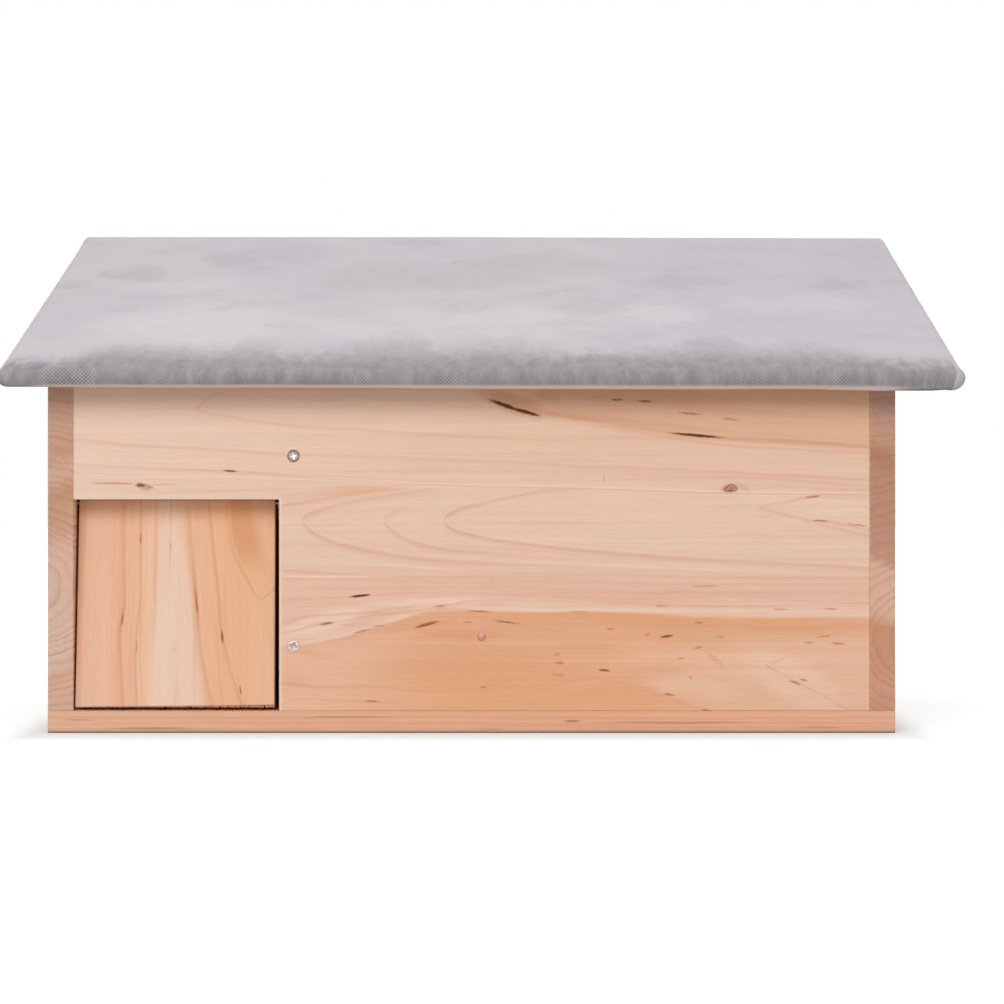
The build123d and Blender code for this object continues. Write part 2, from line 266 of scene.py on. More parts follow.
def fibres(along, across, through):
    # fine streaks along the grain, about -1 to 1: two stretched noises added
    fine = along.cloud(along * 0.06, across * 1.7, through * 1.7, 2.0)
    broad = along.cloud(along * 0.016, across * 0.42, through * 0.42, 3.0)
    return fine * 0.5 + broad * 0.5


def yearRings(ring):
    # the darkness of the late wood over the ring's fraction, and a number of its own for each ring
    return ring.math("FRACT", ring).curve(yearProfile), ring.math("FLOOR", ring) * 0.73


def bentByKnots(ring, spot, knots):
    # each knot: the distance from its axis, in its own half sizes, swells the rings near it; the least
    # distance is given back with them
    nearest = None
    for middle, sizes in knots:
        local = ring.node("ShaderNodeMapping", {"vector_type": "TEXTURE"}, {0: spot, 1: middle, 3: sizes})
        near = local.length()
        ring = ring + near.ramp(3.6, 0.9) * 2.2
        nearest = near if nearest is None else nearest.math("MINIMUM", nearest, near)
    return ring, nearest


def drawKnots(colour, near):
    # a brown heart with fine sine rings, in a dark rim
    heart = near.ramp(1.05, 0.8)
    colour = (heart * (0.75 + (near * 9.0).sine() * 0.2)).mix(colour, knotWood["heart"])
    rim = near.ramp(0.8, 0.95) * near.ramp(1.15, 1.0)
    return (rim * 0.75).mix(colour, knotWood["rim"]), heart


frontWood = {
    "left": tone(233, 200, 178), "middle": tone(230, 192, 168), "tan": tone(222, 174, 143),
    "belowJoint": tone(231, 195, 172), "rose": tone(230, 187, 163), "orange": tone(228, 170, 132),
    "low": tone(229, 171, 131), "lowLeft": tone(241, 180, 143), "lowRight": tone(232, 182, 151),
    "line": tone(216, 146, 116), "mark": tone(88, 40, 14), "rust": tone(186, 112, 70),
    "pale": tone(242, 214, 193), "wedge": tone(226, 176, 141), "streak": tone(220, 164, 132),
    "amber": tone(221, 154, 110), "bark": tone(196, 142, 106), "end": tone(196, 146, 112),
    # boundaries: x, height
    "tip": [(-235, 206), (8, 206), (10, 202), (14, 195.5), (28, 190.0), (43.2, 186.7), (60.2, 183.6),
            (110.7, 175.8), (154.8, 171.8), (234, 167)],
    "joint": [(-118.4, 152.2), (-77.3, 148.9), (-6.8, 145.3), (69, 143.6), (110.7, 142.2), (147.7, 141),
              (233.5, 140.1)],
    "wedgeFoot": [(-113, 132.8), (-90, 136.9), (-68, 140.4), (-34, 143.9)],
    "wedgeHead": [(-113, 137.8), (-99, 142.2), (-79, 144.7), (-34, 144.9)],
    # strengths: x, share
    "wedgeStrength": [(-113, 0.2), (-88, 0.35), (-62, 0.9), (-46, 0.7), (-34, 0.0)],
    "zoneStrength": [(-113, 0.35), (-60, 0.6), (-10, 1), (120, 1), (234, 0.7)],
    "jointStrength": [(-125, 0), (-112, 0.35), (-77, 0.7), (0, 0.85), (234, 1)],
    # the torn border of the warmer wood below: x, height
    "zone": [(-113.1, 47.6), (-100.8, 49.9), (-86.7, 53.4), (-64.4, 58.4), (-50.8, 62.8), (-33.8, 69.5),
             (-15, 73.4), (16.7, 71.1), (75.5, 71.1), (134.2, 68.7), (233.5, 68.1)],
    # half width, then x, height and strength along the line
    "rings": [
        # upper tip low
        (0.9, [(-165, 190.9, 0), (-161, 189.8, 0.4), (-150, 187.4, 0.42), (-119, 182.1, 0.42),
               (-52, 177.4, 0.35), (5, 173.9, 0.3), (52, 171.5, 0.2), (105, 168.6, 0)]),
        # upper tip high
        (0.9, [(-165, 190.6, 0), (-161, 191.2, 0.5), (-157, 195.0, 0.5), (-150, 199.2, 0.4),
               (-136, 202.7, 0.2)]),
        # long one
        (0.9, [(-235, 172.7, 0.3), (-207, 169.8, 0.5), (-153, 166.8, 0.5), (-119, 164.5, 0.45),
               (-83, 163.3, 0.35), (5, 159.8, 0.45), (43, 158.0, 0.5), (128, 154.5, 0.45),
               (181, 151.6, 0.5), (234, 148.6, 0.5)]),
        # long two
        (0.7, [(-235, 157.4, 0.3), (-201, 156.0, 0.45), (-142, 153.7, 0.6), (-101, 151.6, 0.5),
               (-42, 148.6, 0.4), (-1, 146.3, 0.3), (52, 144.5, 0)]),
        # long three
        (0.6, [(-235, 152.7, 0.25), (-183, 151.0, 0.35), (-136, 149.5, 0.4), (-77, 147.2, 0.3),
               (-19, 145.1, 0)]),
        # over knot
        (0.6, [(-235, 148.6, 0.2), (-207, 148.6, 0.35), (-183, 149.2, 0.35), (-148, 147.5, 0.2),
               (-113, 146.3, 0)]),
        # under knot
        (0.6, [(-207, 141.6, 0), (-183, 141.0, 0.35), (-157, 141.9, 0.4), (-124, 143.3, 0.3),
               (-101, 143.9, 0)]),
        # second tip low
        (0.9, [(30, 192.4, 0), (34, 190.9, 0.6), (43, 188.9, 0.65), (60, 185.6, 0.75), (85, 181.5, 0.7),
               (111, 177.4, 0.8), (134, 174.5, 0.6), (155, 173.0, 0.6), (178, 172.4, 0.65),
               (205, 170.4, 0.7), (234, 168.0, 0.7)]),
        # second tip high
        (0.9, [(30, 192.7, 0), (34, 193.9, 0.5), (37, 197.4, 0.5), (42, 200.9, 0.4), (52, 203.3, 0.2)]),
        # outer tip high
        (0.9, [(13, 197.4, 0), (17, 198.0, 0.35), (21, 200.9, 0.35), (26, 203.3, 0.2)]),
        # second line
        (0.7, [(52, 183.3, 0), (85, 179.2, 0.4), (111, 174.5, 0.55), (144, 169.8, 0.6), (187, 166.8, 0.6),
               (234, 164.5, 0.65)]),
        # right one
        (0.8, [(75, 152.7, 0), (128, 151.0, 0.35), (169, 149.8, 0.4), (234, 145.1, 0.45)]),
        # right two
        (0.6, [(134, 146.3, 0), (169, 145.7, 0.4), (205, 143.9, 0.4), (234, 143.0, 0.4)]),
        # wedge foot
        (0.9, [(-113, 133.3, 0.85), (-103, 134.5, 0.7), (-90, 136.9, 0.55), (-68, 140.4, 0.4),
               (-34, 143.9, 0.15), (-19, 144.8, 0)]),
        # arch one high
        (1.5, [(-101, 124.5, 0), (-98, 126.9, 0.55), (-94, 129.2, 0.6), (-86, 132.2, 0.5),
               (-71, 135.7, 0.5), (-52, 139.2, 0.5), (-30, 142.5, 0.4), (-10, 144.5, 0)]),
        # arch one low
        (1.4, [(-101, 124.2, 0), (-98, 122.2, 0.55), (-94, 118.4, 0.7), (-86, 113.7, 0.75),
               (-74, 110.1, 0.75), (-60, 106.9, 0.7), (-36, 102.8, 0.65), (5, 99.9, 0.5), (52, 98.1, 0.35),
               (105, 96.3, 0.2), (146, 95.2, 0)]),
        # arch two high
        (1.3, [(-52, 124.8, 0), (-50, 126.9, 0.5), (-47, 129.2, 0.5), (-42, 131.0, 0.35), (-35, 133.3, 0)]),
        # arch two low
        (1.3, [(-52, 124.5, 0), (-50, 122.2, 0.55), (-46, 118.1, 0.6), (-39, 114.0, 0.65),
               (-19, 108.7, 0.6), (5, 105.7, 0.45), (40, 103.4, 0.3), (87, 101.0, 0.15), (134, 98.7, 0)]),
        # arch three high
        (1.0, [(-17, 124.8, 0), (-15, 127.5, 0.8), (-11, 129.8, 0.8), (-5, 132.2, 0.75), (5, 134.5, 0.65),
               (18, 137.7, 0.6), (40, 141.9, 0.55), (57, 143.6, 0.4), (75, 144.5, 0)]),
        # arch three low
        (1.0, [(-17, 124.2, 0), (-15, 122.2, 0.85), (-11, 119.5, 0.85), (-4, 117.2, 0.8), (11, 114.0, 0.7),
               (27, 111.6, 0.7), (69, 106.9, 0.8), (111, 103.4, 0.75), (161, 100.7, 0.55), (199, 98.7, 0.6),
               (234, 96.9, 0.65)]),
        # below arch
        (0.8, [(-30, 112.8, 0), (-7, 109.8, 0.25), (28, 108.1, 0.3), (75, 104.0, 0.3), (134, 100.4, 0.3),
               (187, 97.5, 0.3), (234, 95.2, 0.3)]),
        # low one
        (0.8, [(-113, 95.7, 0.5), (-83, 94.0, 0.5), (-54, 92.2, 0.45), (-19, 91.6, 0.3), (28, 93.4, 0.3),
               (75, 93.4, 0.35), (134, 91.6, 0.4), (193, 91.3, 0.45), (234, 91.3, 0.45)]),
        # low two
        (0.6, [(-113, 90.5, 0.4), (-83, 90.8, 0.35), (-42, 89.3, 0.25), (5, 88.1, 0.2), (52, 89.9, 0.3),
               (99, 88.1, 0.35), (169, 87.5, 0.35), (234, 88.1, 0.3)]),
        # low three
        (0.6, [(-113, 85.8, 0), (-71, 85.2, 0.3), (-13, 85.8, 0.3), (40, 85.2, 0.25), (99, 83.4, 0.3),
               (169, 82.8, 0.35), (234, 83.4, 0.3)]),
        # low four
        (0.6, [(-113, 78.4, 0.45), (-83, 79.6, 0.45), (-56, 81.1, 0.4), (-19, 82.8, 0.35), (28, 81.1, 0.3),
               (99, 79.0, 0.4), (158, 79.9, 0.3), (234, 79.3, 0.3)]),
        # low five
        (0.6, [(52, 75.5, 0), (90, 76.4, 0.5), (115, 75.2, 0.55), (158, 74.6, 0.5), (187, 75.2, 0.4),
               (234, 76.4, 0.3)]),
        # edge high
        (0.8, [(-113, 63.4, 0.5), (-99, 67.8, 0.7), (-76, 69.9, 0.6), (-58, 71.1, 0.5), (-42, 73.4, 0.3),
               (-15, 76.4, 0)]),
        # edge low
        (0.8, [(-113, 58.1, 0.5), (-90, 64.0, 0.7), (-74, 66.4, 0.3), (-58, 69.3, 0.7), (-34, 71.7, 0.6),
               (-15, 75.2, 0.5), (5, 78.1, 0.3), (40, 78.1, 0)]),
        # band top
        (0.9, [(-110, 49.9, 0.6), (-101, 51.1, 0.65), (-87, 53.4, 0.55), (-64, 58.7, 0.75),
               (-51, 63.4, 0.6), (-33, 68.1, 0.4), (-13, 71.1, 0.3), (5, 71.7, 0.6), (28, 71.1, 0.4),
               (52, 70.5, 0.2)]),
        # soft under
        (2.0, [(-39, 57.6, 0), (-27, 57.9, 0.5), (-13, 58.1, 0.45), (7, 57.3, 0.35), (28, 57.0, 0)]),
        # foot one
        (0.8, [(-113, 29.4, 0.9), (-101, 28.5, 0.9), (-88, 27.0, 0.6), (-66, 27.9, 0.45), (-51, 27.3, 0.5),
               (-30, 25.2, 0.25), (-1, 21.7, 0)]),
        # foot two
        (0.6, [(-113, 21.1, 0.3), (-83, 19.4, 0.3), (-62, 18.8, 0.5), (-42, 17.6, 0.2), (-13, 15.8, 0)]),
        # right tip high
        (0.9, [(167, 132.8, 0), (172, 133.6, 0.5), (181, 135.4, 0.45), (195, 138.3, 0.6), (206, 139.5, 0.4),
               (222, 139.8, 0)]),
        # right tip low
        (0.9, [(167, 132.5, 0), (172, 131.6, 0.5), (183, 128.6, 0.5), (201, 124.8, 0.6), (210, 124.2, 0.55),
               (226, 121.0, 0.55), (234, 119.2, 0.4)]),
        # right tip under
        (1.1, [(187, 125.7, 0), (211, 121.0, 0.4), (234, 115.7, 0.5)]),
        # diagonal
        (0.7, [(172, 41.1, 0), (175, 39.1, 0.7), (184, 34.1, 0.45), (195, 28.2, 0.6), (208, 21.1, 0.5),
               (221, 14.1, 0.6), (226, 11.7, 0.3)]),
        # diagonal short
        (0.7, [(172, 37.6, 0), (175, 39.9, 0.5), (180, 42.9, 0.5), (187, 45.2, 0)]),
        # slope right
        (0.9, [(52, 33.5, 0), (81, 31.1, 0.2), (102, 25.2, 0.4), (113, 22.3, 0.6), (128, 16.4, 0.4),
               (141, 12.9, 0.3)]),
    ],
    # x, z, half length, half breadth, tilt, strength
    "marks": [(19.6, 192.5, 10.6, 1.4, -20, 1), (31.8, 188.6, 9.6, 1.25, -15.5, 1),
              (-141.9, 153.9, 4.7, 0.8, -4, 0.8), (-194.2, 145.5, 3.6, 1.25, -4, 0.82),
              (-190.4, 144.9, 4.0, 1.0, -12, 0.56), (-211.0, 146.7, 15.0, 0.8, -1, 0.46),
              (-192.4, 144.7, 5.2, 2.2, -14, 0.46), (-195.4, 146.6, 2.0, 0.8, 20, 0.6),
              (-180.0, 146.0, 9.0, 0.7, 2, 0.3), (149.9, 144.2, 3.6, 0.9, 42, 0.74),
              (152.2, 145.7, 2.2, 0.8, 12, 0.66), (154.8, 144.4, 2.4, 0.9, -50, 0.7),
              (152.2, 142.3, 4.4, 0.8, 0, 0.78), (152.9, 143.9, 1.5, 0.7, -12, 0.74),
              (151.8, 143.6, 5.2, 2.7, 2, 0.58), (159, 144.6, 6.0, 1.8, -24, 0.25),
              (85.5, 195.8, 4.1, 0.8, -2, 0.75), (101.9, 194.9, 4.7, 0.8, -2, 0.75),
              (127.8, 187.7, 7.7, 0.7, -4, 0.6), (151.9, 184.3, 6.5, 0.7, -6, 0.5),
              (131.9, 174.9, 16.5, 1.0, -5, 0.95), (-65.5, 80.6, 6.5, 0.9, 6, 0.95),
              (-85.2, 64.3, 4.4, 0.8, 8, 0.7), (-26.5, 63.7, 8.2, 1.1, 15, 0.75),
              (-2.4, 65.1, 3.8, 0.6, -2, 0.5), (4.7, 71.4, 7.9, 0.6, -2, 0.6),
              (20.8, 65.1, 8.9, 0.6, -7, 0.65), (-64.4, 59.8, 6.1, 0.8, 15, 0.55),
              (-54.4, 62.8, 4.2, 0.6, 8, 0.5), (-18.2, 74.6, 3.8, 0.6, 4, 0.5),
              (137.5, 86.2, 9.1, 0.7, 1, 0.4), (62.6, 71.2, 7.1, 0.6, 1, 0.4),
              (111.9, 74.5, 4.7, 0.6, -2, 0.4), (181.8, 72.6, 5.3, 0.6, 1, 0.45),
              (210.9, 72.9, 4.4, 0.6, -3, 0.5), (200.3, 138.8, 5.0, 0.7, 6, 0.6),
              (205.0, 124.7, 5.0, 0.6, -3, 0.6), (226.5, 122.2, 6.5, 0.6, -8, 0.5),
              (133.6, 64.8, 2.9, 0.6, -3, 0.55), (81.4, 61.0, 2.9, 0.6, -2, 0.5),
              (103.4, 57.8, 2.1, 0.6, 14, 0.45), (114.8, 56.8, 4.1, 0.9, 7, 0.8),
              (146.6, 56.6, 2.9, 0.6, -5, 0.4), (207.1, 56.8, 4.7, 0.6, 5, 0.5),
              (198.0, 53.1, 3.2, 0.6, 2, 0.5), (215.6, 52.5, 5.0, 0.7, -2, 0.55),
              (133.1, 50.1, 3.6, 0.7, 12, 0.5), (123.4, 43.9, 2.1, 0.6, 4, 0.45),
              (78.1, 36.8, 3.8, 0.9, -7, 0.75), (116.3, 22.6, 3.3, 0.8, -10, 0.65),
              (138.6, 13.1, 3.9, 0.8, -10, 0.6), (7.0, 26.7, 2.1, 0.7, 2, 0.55),
              (195.0, 31.2, 2.7, 0.8, -10, 0.55), (190.3, 29.5, 4.0, 0.8, -19, 0.6),
              (51.7, 41.2, 2.7, 1.1, -4, 0.5), (50.2, 46.1, 3.0, 0.7, 6, 0.4),
              (51.1, 34.1, 4.4, 0.7, -8, 0.4), (128.9, 32.6, 1.5, 0.8, -37, 0.45),
              (143.0, 43.2, 7.7, 1.8, -40, 0.25), (77.7, 149.5, 2.6, 0.4, -93, 0.45),
              (-58.5, 18.6, 4.7, 0.7, -2, 0.6), (12.2, 88.7, 1.2, 0.7, -83, 0.3)],
    # soft patches of paler and of warmer wood, drawn the same way
    "paler": [(-90, 64, 30, 6.5, 17, 0.75), (-80, 92.2, 36, 0.9, -1, 0.8), (-30, 77.5, 40, 2.2, 3, 0.6),
              (60, 76.2, 60, 1.1, -1, 0.6), (170, 76, 60, 1.0, 0, 0.5), (-160, 150.2, 70, 0.9, -1, 0.7),
              (-60, 147.5, 50, 0.9, -2, 0.6), (120, 96.8, 110, 1.2, -2, 0.5), (-40, 98, 40, 1.3, -3, 0.5),
              (190, 30, 34, 13, -30, 0.45), (130, 26, 30, 8, -10, 0.3), (200, 135, 40, 7, -6, 0.3)],
    "warmer": [(-28, 65, 34, 4.2, 8, 0.8), (40, 67, 60, 4.0, -1, 0.6), (110, 65, 60, 5.0, -3, 0.8),
               (196, 63, 46, 5.5, 0, 0.85), (-4, 58, 24, 3.0, -1, 0.6), (-95, 47, 18, 2.6, -12, 0.5),
               (10, 34, 62, 15, -4, 0.55), (128, 54, 30, 5, -8, 0.4), (90, 22, 34, 7, -6, 0.35),
               (-106, 32, 12, 6, 0, 0.3)],
    # the four broad browner patches high on the board are painted warm shade under the lid; the thinner ones
    # lower down are browner wood
    "brownerAndShade": [(22, 194.5, 23, 6.5, -20, 0.9), (44, 199, 9, 5, -20, 0.7), (100, 199, 70, 6, -3, 0.6),
                (200, 198, 60, 8, -2, 0.4), (90, 183, 60, 2.2, -6, 0.5), (190, 171, 60, 1.6, -3, 0.4),
                (150, 190, 60, 2.5, -4, 0.35), (75, 84, 64, 7, -2, 0.16)],
}


def frontBoardWood():
    # grain runs along x. Tones change across the board at drawn boundaries; over them come soft patches,
    # the drawn ring lines, the glue joint, the dark flecks and fine fibres
    d = frontWood
    made, f, shader = newMaterial("frontBoard")
    x, y, z = millimetres(f)
    wave = f.cloud(x * 0.02, z * 0.12, y * 0.1, 2.0)
    zw = z + wave * 0.35 + (y - house["front"]) * 0.22
    blur = f.cloud(x * 0.008, z * 0.06, 3.1, 3.0)
    colour = x.ramp(-235, 60).mix(d["left"], d["middle"])
    colour = ((zw - x.curve(d["tip"])).ramp(-3.5, 2.0) * 0.9).mix(colour, d["tan"])

    # the lower board, below the glue joint
    inLower = (zw - x.curve(d["joint"])).ramp(0.25, -0.25) * x.ramp(-121, -111)
    lower = (zw + blur * 4).ramp(102, 84).mix(d["belowJoint"], d["rose"])
    wedge = (zw - x.curve(d["wedgeFoot"])).ramp(-0.8, 0.5) * (zw - x.curve(d["wedgeHead"])).ramp(0.6, -0.4)
    lower = (wedge * x.curve(d["wedgeStrength"])).mix(lower, d["wedge"])
    torn = f.cloud(x * 0.018, zw * 0.8, 12.0, 3.0, 0.6)
    fall = zw - x.curve(d["zone"]) + torn * 1.1
    band = fall.ramp(0.8, -1.6) * x.curve(d["zoneStrength"])
    deep = (zw + blur * 3).ramp(56, 30).mix(d["orange"], d["low"])
    deep = (x + blur * 12).ramp(-50, -112).mix(deep, d["lowLeft"])
    swirl = f.cloud(x * 0.028, zw * 0.07, 5.0, 4.0, 0.6)
    corner = (x + swirl * 26 + (zw - 40) * 0.9).ramp(70, 150) * (zw + swirl * 7).ramp(62, 44)
    lower = band.mix(lower, corner.mix(deep, d["lowRight"]))
    lower = (fall.ramp(-0.5, 1.0) * fall.ramp(6.0, 2.0) * 0.35).mix(lower, d["pale"])
    colour = inLower.mix(colour, lower)

    # soft patches and strands
    xs, zs = x + swirl * 5, zw + blur * 1.0
    colour = (flecks(xs, zs, d["paler"]) * 0.75).mix(colour, d["pale"])
    warm = flecks(xs, zs, d["warmer"]) * fall.ramp(0.8, -1.2)
    colour = (warm * (0.55 + swirl * 0.25)).mix(colour, d["amber"])
    # browner wood, with painted warm shade under the lid where the patches lie high on the board
    colour = (flecks(xs, zs, d["brownerAndShade"]) * (0.55 + swirl * 0.25)).mix(colour, d["bark"])
    # painted warm shade under the lid's overhang, along the board's top
    colour = (zw.ramp(186, 204) * 0.18).mix(colour, d["bark"])
    strand = f.cloud(x * 0.0045, zw * 0.33, y * 0.02, 4.0, 0.62)
    colour = (strand.ramp(0.0, 0.9) * 0.4).mix(colour, d["streak"])
    colour = (strand.ramp(-0.05, -0.9) * 0.34).mix(colour, d["pale"])

    # ring lines, the glue joint with its pale upper lip, and flecks
    lines = grainLines(x, zw, d["rings"])
    colour = (lines * (0.62 + blur * 0.2)).mix(colour, d["line"])
    joint = z - x.curve(d["joint"])
    shown = x.curve(d["jointStrength"])
    colour = (joint.ramp(0.1, 0.7) * joint.ramp(1.9, 0.9) * shown * 0.5).mix(colour, d["pale"])
    colour = (joint.ramp(-0.9, -0.2) * joint.ramp(0.5, 0.0) * shown * 0.35).mix(colour, d["line"])
    colour = drawMarks(colour, x, z, 7.0, d)
    hair = fibres(x, zw, y * 0.6)
    colour = f.shade(colour, 1.0 + hair * 0.045 + blur * 0.02 + swirl * (0.012 + band * 0.018))

    # painted highlights on the arrises beside and over the notch, where their rounded edges catch the light,
    # and darker sawn ends
    beside = x.ramp(-110.9, -111.9) * z.ramp(138.4, 137.4)
    arris = beside.most(x.ramp(-112.0, -113.5) * z.ramp(138.5, 137.7))
    colour = (arris * 0.55).mix(colour, d["pale"])
    colour = (facing(f, 0) * 0.5).mix(colour, d["end"])
    finish(f, shader, colour, 0.66 + hair * 0.05, hair, 0.00012)
    return made


flapWood = {
    # x, tone
    "tones": [(-233, tone(219, 169, 138)), (-229, tone(230, 181, 151)), (-217, tone(234, 186, 156)),
              (-206.5, tone(233, 179, 147)), (-198, tone(234, 185, 154)), (-187, tone(235, 192, 162)),
              (-164, tone(232, 183, 151)), (-149, tone(234, 180, 144)), (-137, tone(234, 178, 140)),
              (-128, tone(234, 183, 145)), (-115, tone(232, 184, 150))],
    "stripe": tone(235, 203, 180), "end": tone(190, 138, 106), "line": tone(204, 132, 86),
    "mark": tone(92, 42, 14), "rust": tone(190, 108, 58), "amber": tone(214, 150, 104),
    "streak": tone(216, 156, 118), "pale": tone(242, 212, 188),
    # borders of the stripe and of the amber patch: height, x
    "stripeLeft": [(12, -189), (60, -187), (100, -184.5), (137, -183.5)],
    "stripeRight": [(12, -157), (40, -161), (80, -166), (110, -170.5), (137, -175)],
    "amberLeft": [(77, -122), (94, -133), (107, -140), (137, -145)],
    "amberRight": [(77, -122), (137, -136)],
    # half width, then height, x and strength along the line
    "rings": [
        # left plain edge
        (1.2, [(136.9, -229.7, 0.3), (101.4, -229.7, 0.3), (54.4, -230.2, 0.2), (12.3, -230.7, 0.2)]),
        (1.0, [(136.9, -205.4, 0.5), (103.8, -205.5, 0.55), (76.7, -204.7, 0.75), (67.3, -205.9, 0.9),
               (58.5, -207.1, 0.8), (42.7, -206.4, 0.55), (12.3, -204.4, 0.6)]),
        (0.8, [(136.9, -195.6, 0.5), (114.4, -195.6, 0.75), (101.4, -195.4, 0.6), (80.8, -195.3, 0.6),
               (60.2, -197.0, 0.55), (45.6, -197.6, 0.6), (12.3, -196.6, 0.6)]),
        (0.6, [(89.6, -193.5, 0), (72.0, -194.5, 0.4), (48.5, -195.0, 0.4), (25.1, -193.8, 0.3),
               (12.3, -193.1, 0.2)]),
        (1.1, [(136.9, -186.4, 0.4), (92.6, -186.5, 0.45), (69.6, -186.8, 0.3), (42.7, -188.2, 0)]),
        (0.6, [(136.9, -177.7, 0.5), (109.1, -178.0, 0.5), (89.6, -178.2, 0.2), (66.1, -177.9, 0)]),
        (1.2, [(136.9, -168.7, 0.3), (129.8, -167.4, 0.4), (103.8, -165.0, 0.5), (83.8, -163.0, 0.75),
               (69.6, -161.4, 0.75), (57.3, -160.4, 0.5), (42.7, -158.2, 0.45), (12.3, -151.4, 0.45)]),
        (0.9, [(136.9, -155.3, 0.4), (131.6, -155.0, 0.45), (103.8, -152.0, 0.6), (80.8, -149.1, 0.65),
               (58.5, -147.1, 0.75), (47.4, -144.7, 0.55), (33.9, -141.0, 0.5), (19.3, -135.6, 0.6),
               (12.3, -133.7, 0.4)]),
        (0.6, [(77.9, -150.9, 0), (54.4, -150.0, 0.35), (31.0, -148.0, 0.35), (12.3, -145.5, 0.3)]),
        (0.9, [(136.9, -145.6, 0.2), (119.1, -143.6, 0.35), (107.3, -141.1, 0.5), (100.2, -137.8, 0.65),
               (93.8, -134.5, 0.6), (87.3, -130.9, 0.65), (81.4, -127.9, 0.6), (77.9, -125.5, 0.2),
               (74.3, -123.7, 0)]),
        (0.8, [(87.9, -114.4, 0.5), (83.2, -117.3, 0.6), (80.2, -120.8, 0.6), (77.9, -124.3, 0.5),
               (77.3, -126.7, 0)]),
        (0.6, [(42.7, -172.9, 0), (25.1, -173.8, 0.3), (12.3, -174.6, 0.35)]),
    ],
    # z, x, half length, half breadth, tilt, strength
    "marks": [(66.7, -206.0, 4.4, 0.75, 6, 0.58), (114.1, -195.8, 3.4, 0.5, 0, 0.6),
              (76.7, -162.3, 8.3, 0.62, -6, 0.68), (56.1, -147.0, 4.3, 0.75, -5, 0.78),
              (24.8, -135.9, 2.9, 0.65, -12, 0.68), (49.0, -175.0, 1.5, 1.5, 0, 0.25),
              (109.4, -178.0, 3.2, 0.5, 0, 0.35), (50.0, -197.4, 4.4, 0.5, 3, 0.35)],
}


def flapBoardWood():
    # grain runs upright. Tones follow x with a pale stripe that leans; drawn lines and flecks lie over them
    d = flapWood
    made, f, shader = newMaterial("flapBoard")
    x, y, z = millimetres(f)
    wave = f.cloud(z * 0.02, x * 0.12, y * 0.1, 2.0)
    xw = x + wave * 0.3 - (y + 178.0 - (z - 13.5) * 0.1237) * 0.2
    lean = xw + wave * 0.8
    colour = lean.tones(d["tones"])
    stripe = (lean - z.curve(d["stripeLeft"])).ramp(-4.0, 3.0)
    stripe = stripe * (lean - z.curve(d["stripeRight"])).ramp(4.0, -3.5)
    colour = (stripe * 0.9).mix(colour, d["stripe"])
    amber = (xw - z.curve(d["amberLeft"])).ramp(-1.5, 3.0) * (xw - z.curve(d["amberRight"])).ramp(10, 0)
    colour = (amber * z.ramp(82, 114) * 0.75).mix(colour, d["amber"])
    # painted warm shade over the flap's top, under the front board's lower edge
    colour = (z.ramp(118, 137) * 0.3).mix(colour, d["amber"])
    blur = f.cloud(z * 0.01, x * 0.06, 5.3, 3.0)
    strand = f.cloud(z * 0.0045, xw * 0.33, y * 0.02, 4.0, 0.62)
    colour = (strand.ramp(0.05, 1.0) * 0.42).mix(colour, d["streak"])
    colour = (strand.ramp(-0.1, -1.0) * 0.25).mix(colour, d["pale"])
    lines = grainLines(z, xw, d["rings"])
    colour = (lines * (0.66 + blur * 0.16)).mix(colour, d["line"])
    colour = drawMarks(colour, z, x, 2.0, d)
    hair = fibres(z, xw, y * 0.6)
    colour = f.shade(colour, 1.0 + hair * 0.045 + blur * 0.025)
    colour = (facing(f, 2) * 0.5).mix(colour, d["end"])
    # a painted highlight along the flap's right arris, strongest towards the foot
    colour = (x.ramp(-116.2, -115.3) * z.ramp(112, 80) * 0.45).mix(colour, d["pale"])
    finish(f, shader, colour, 0.66 + hair * 0.05, hair, 0.00012)
    return made


# Boards seen only from behind or with the lid open. grain is the axis along the board; pith is the middle of
# the rings across it and how far that leans along it; a knot is its middle and its half sizes
hiddenWood = {
    "back_panel": {
        "name": "backBoard", "grain": 0, "pith": (210.0, 120.0, 0.0, 0.05), "pitch": 5.2, "seed": 2.7,
        "early": tone(232, 195, 165), "late": tone(192, 130, 96), "blush": tone(225, 175, 140),
        "contrast": 0.55,
        "knots": [((-96, 171, 92), (11, 400, 6)), ((132, 171, 208), (8, 400, 5))],
    },
    "partition": {
        "name": "partitionBoard", "grain": 1, "pith": (-180.0, 60.0, 0.0, 0.05), "pitch": 4.4, "seed": 7.1,
        "early": tone(233, 198, 170), "late": tone(196, 138, 104), "blush": tone(226, 180, 146),
        "contrast": 0.55,
        "knots": [((-104, -40, 180), (400, 7, 5))],
    },
    "lid_board": {
        "name": "lidBoard", "grain": 0, "pith": (40.0, 80.0, 0.04, 0.0), "pitch": 9.0, "seed": 4.4,
        "early": tone(226, 192, 152), "late": tone(196, 150, 108), "blush": tone(216, 176, 132),
        "contrast": 0.4,
        "knots": [((120, 60, 250), (12, 9, 400))],
    },
}


